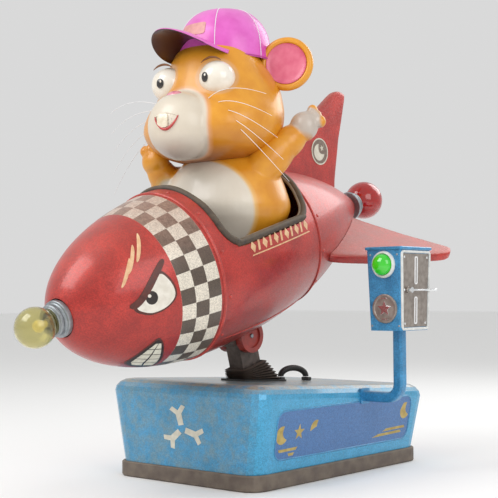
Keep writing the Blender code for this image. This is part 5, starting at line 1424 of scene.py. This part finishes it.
put(revolve("button_ring", ringLine, boxWhite, facing, 72, 1.0, "Z", loop=True, sharp=50), "base", "steel",
    "button_bezel")
# medallion: dished disc with a raised rim, a star and two bars in relief
facing = Matrix.Translation(onBoxFront(0, box["coinZ"])) @ Matrix.Rotation(math.pi / 2 + 0.034, 4, "X")
coinLine = [(0.0001, 0.0028), (0.038, 0.0028), (0.0395, 0.0046), (0.0435, 0.0052), (0.0470, 0.0040),
            (0.0480, 0.0004), (0.0001, 0.0004)]
put(revolve("medallion", coinLine, steel, facing, 80, 1.0, "Z", loop=False, sharp=40), "base", "steel",
    "coin_medallion")
relief = [plate("relief", [star(0, 0, 0.027, 5, 0.45)], 0.0026, 0.0006, 2, steel)]
for low in (-0.0355, 0.0325):
    relief.append(plate("relief", [[(-0.012, low), (0.012, low), (0.012, low + 0.003),
                                    (-0.012, low + 0.003)]], 0.0024, 0.0006, 2, steel))
for made in relief:
    made.matrix_world = facing @ Matrix.Translation((0, 0, 0.0034))
relief = joinShapes("medallion_relief", relief)
relief.data.materials.clear()
relief.data.materials.append(chrome)
put(relief, "base", "steel")
print("coin box dressed")

# ---- finishes for the CAD pieces that show as they are

plain = {"plinth": plinthCoat, "floor_pan": darkSteel, "base_shell": bluePaint, "boot_frame": blackPlastic,
         "boot_bellows": bootRubber, "lamp_conduit": blackPlastic, "conduit_gland_front": blackPlastic,
         "conduit_gland_rear": blackPlastic, "bearing_stand_left": castRed, "bearing_stand_right": castRed,
         "bearing_left": bronze, "bearing_right": bronze, "gearbox": motorCoat, "drive_motor": motorCoat,
         "control_box": galvanised, "transformer": darkSteel, "power_gland": blackPlastic,
         "coin_post": blueEnamel, "coin_box_shell": blueEnamel, "coin_panel": steel,
         "coin_box_lid": blueEnamel, "coin_mech": galvanised, "cash_tray": galvanised,
         "coin_medallion": steel, "button_bezel": boxWhite, "button_spring": chrome, "pivot_shaft": steel,
         "rocker_arm": armCoat, "crank_lever": steel, "belly_saddle": armCoat, "saddle_cheek_left": castRed,
         "saddle_cheek_right": castRed, "cockpit_tub": liner, "crank_disc": steel, "connecting_rod": steel,
         "crank_pin": steel, "start_button": lens, "coin_lever": chrome, "nose_collar": steel,
         "tail_collar": steel, "nose_bulb": lampGlass, "tail_bulb": redGlass, "cockpit_rim": rubber}
for name, node in frame["nodes"].items():
    finish = plain.get(name, flakeRed)
    for slot in node.material_slots:
        slot.material = finish
# a grey-olive recess in each cheek, lightened as a painted highlight, round a hex bolt
for side, name in ((1, "right"), (-1, "left")):
    at = rocket @ Matrix.Translation((side * 0.0505, hull["belly"], -0.286)) @ Matrix.Rotation(
        side * math.pi / 2, 4, "Y")
    plateLine = [(0.0001, 0.0012), (0.036, 0.0012), (0.0388, 0.0004), (0.0388, -0.0002), (0.0001, -0.0002)]
    put(revolve("cheek_plate_" + name, plateLine, recessToneAndHighlight, at, 56, 1.0, "Z", loop=False, sharp=40), "rocker",
        "steel")
    boltLine = [(0.0001, 0.0072), (0.0065, 0.0072), (0.0080, 0.0058), (0.0080, 0.0010), (0.0001, 0.0010)]
    put(revolve("cheek_bolt_" + name, boltLine, galvanised, at, 6, 1.0, "Z", loop=False, sharp=30), "rocker",
        "steel")
print("CAD pieces finished:", len(plain))


# ---- floor, light and camera

floor = bpy.data.meshes.new("floor")
floor.from_pydata([(-30, -30, -0.001), (30, -30, -0.001), (30, 30, -0.001), (-30, 30, -0.001)], [],
                  [(0, 1, 2, 3)])
floorPiece = bpy.data.objects.new("floor", floor)
bpy.context.scene.collection.objects.link(floorPiece)
floorPaint, tree, shader = newMaterial("matt_studio_floor", Roughness=0.85)
shader.inputs["Base Color"].default_value = linear("#F4F4F3")
floor.materials.append(floorPaint)

world = bpy.data.worlds.new("studio")
bpy.context.scene.world = world
world.use_nodes = True
world.node_tree.nodes["Background"].inputs["Color"].default_value = linear("#FBFBFB")
world.node_tree.nodes["Background"].inputs["Strength"].default_value = 0.72

lights = {"key": dict(place=(-1.2, -3.4, 3.6), size=2.6, power=95),
          "fill": dict(place=(3.6, -1.2, 2.2), size=2.4, power=42),
          "back": dict(place=(0.6, 3.4, 3.2), size=2.6, power=60)}
for name, spec in lights.items():
    data = bpy.data.lights.new(name, "AREA")
    data.size = spec["size"]
    data.energy = spec["power"]
    lamp = bpy.data.objects.new(name, data)
    lamp.location = spec["place"]
    lamp.rotation_euler = (Vector((0, 0, 0.8)) - lamp.location).to_track_quat("-Z", "Y").to_euler()
    bpy.context.scene.collection.objects.link(lamp)

view = dict(place=(2.5636, -3.1110, 0.6054), azimuth=40.63, rise=2.29, roll=-0.40, lens=82.27)
data = bpy.data.cameras.new("camera")
data.lens = view["lens"]
camera = bpy.data.objects.new("camera", data)
azimuth, rise = math.radians(view["azimuth"]), math.radians(view["rise"])
ahead = Vector((-math.sin(azimuth) * math.cos(rise), math.cos(azimuth) * math.cos(rise), math.sin(rise)))
camera.rotation_mode = "QUATERNION"
camera.rotation_quaternion = ahead.to_track_quat("-Z", "Y") @ Matrix.Rotation(
    math.radians(view["roll"]), 3, "Z").to_quaternion()
camera.location = view["place"]
bpy.context.scene.collection.objects.link(camera)
bpy.context.scene.camera = camera
bpy.context.scene.view_settings.view_transform = "Standard"

bpy.context.view_layer.update()
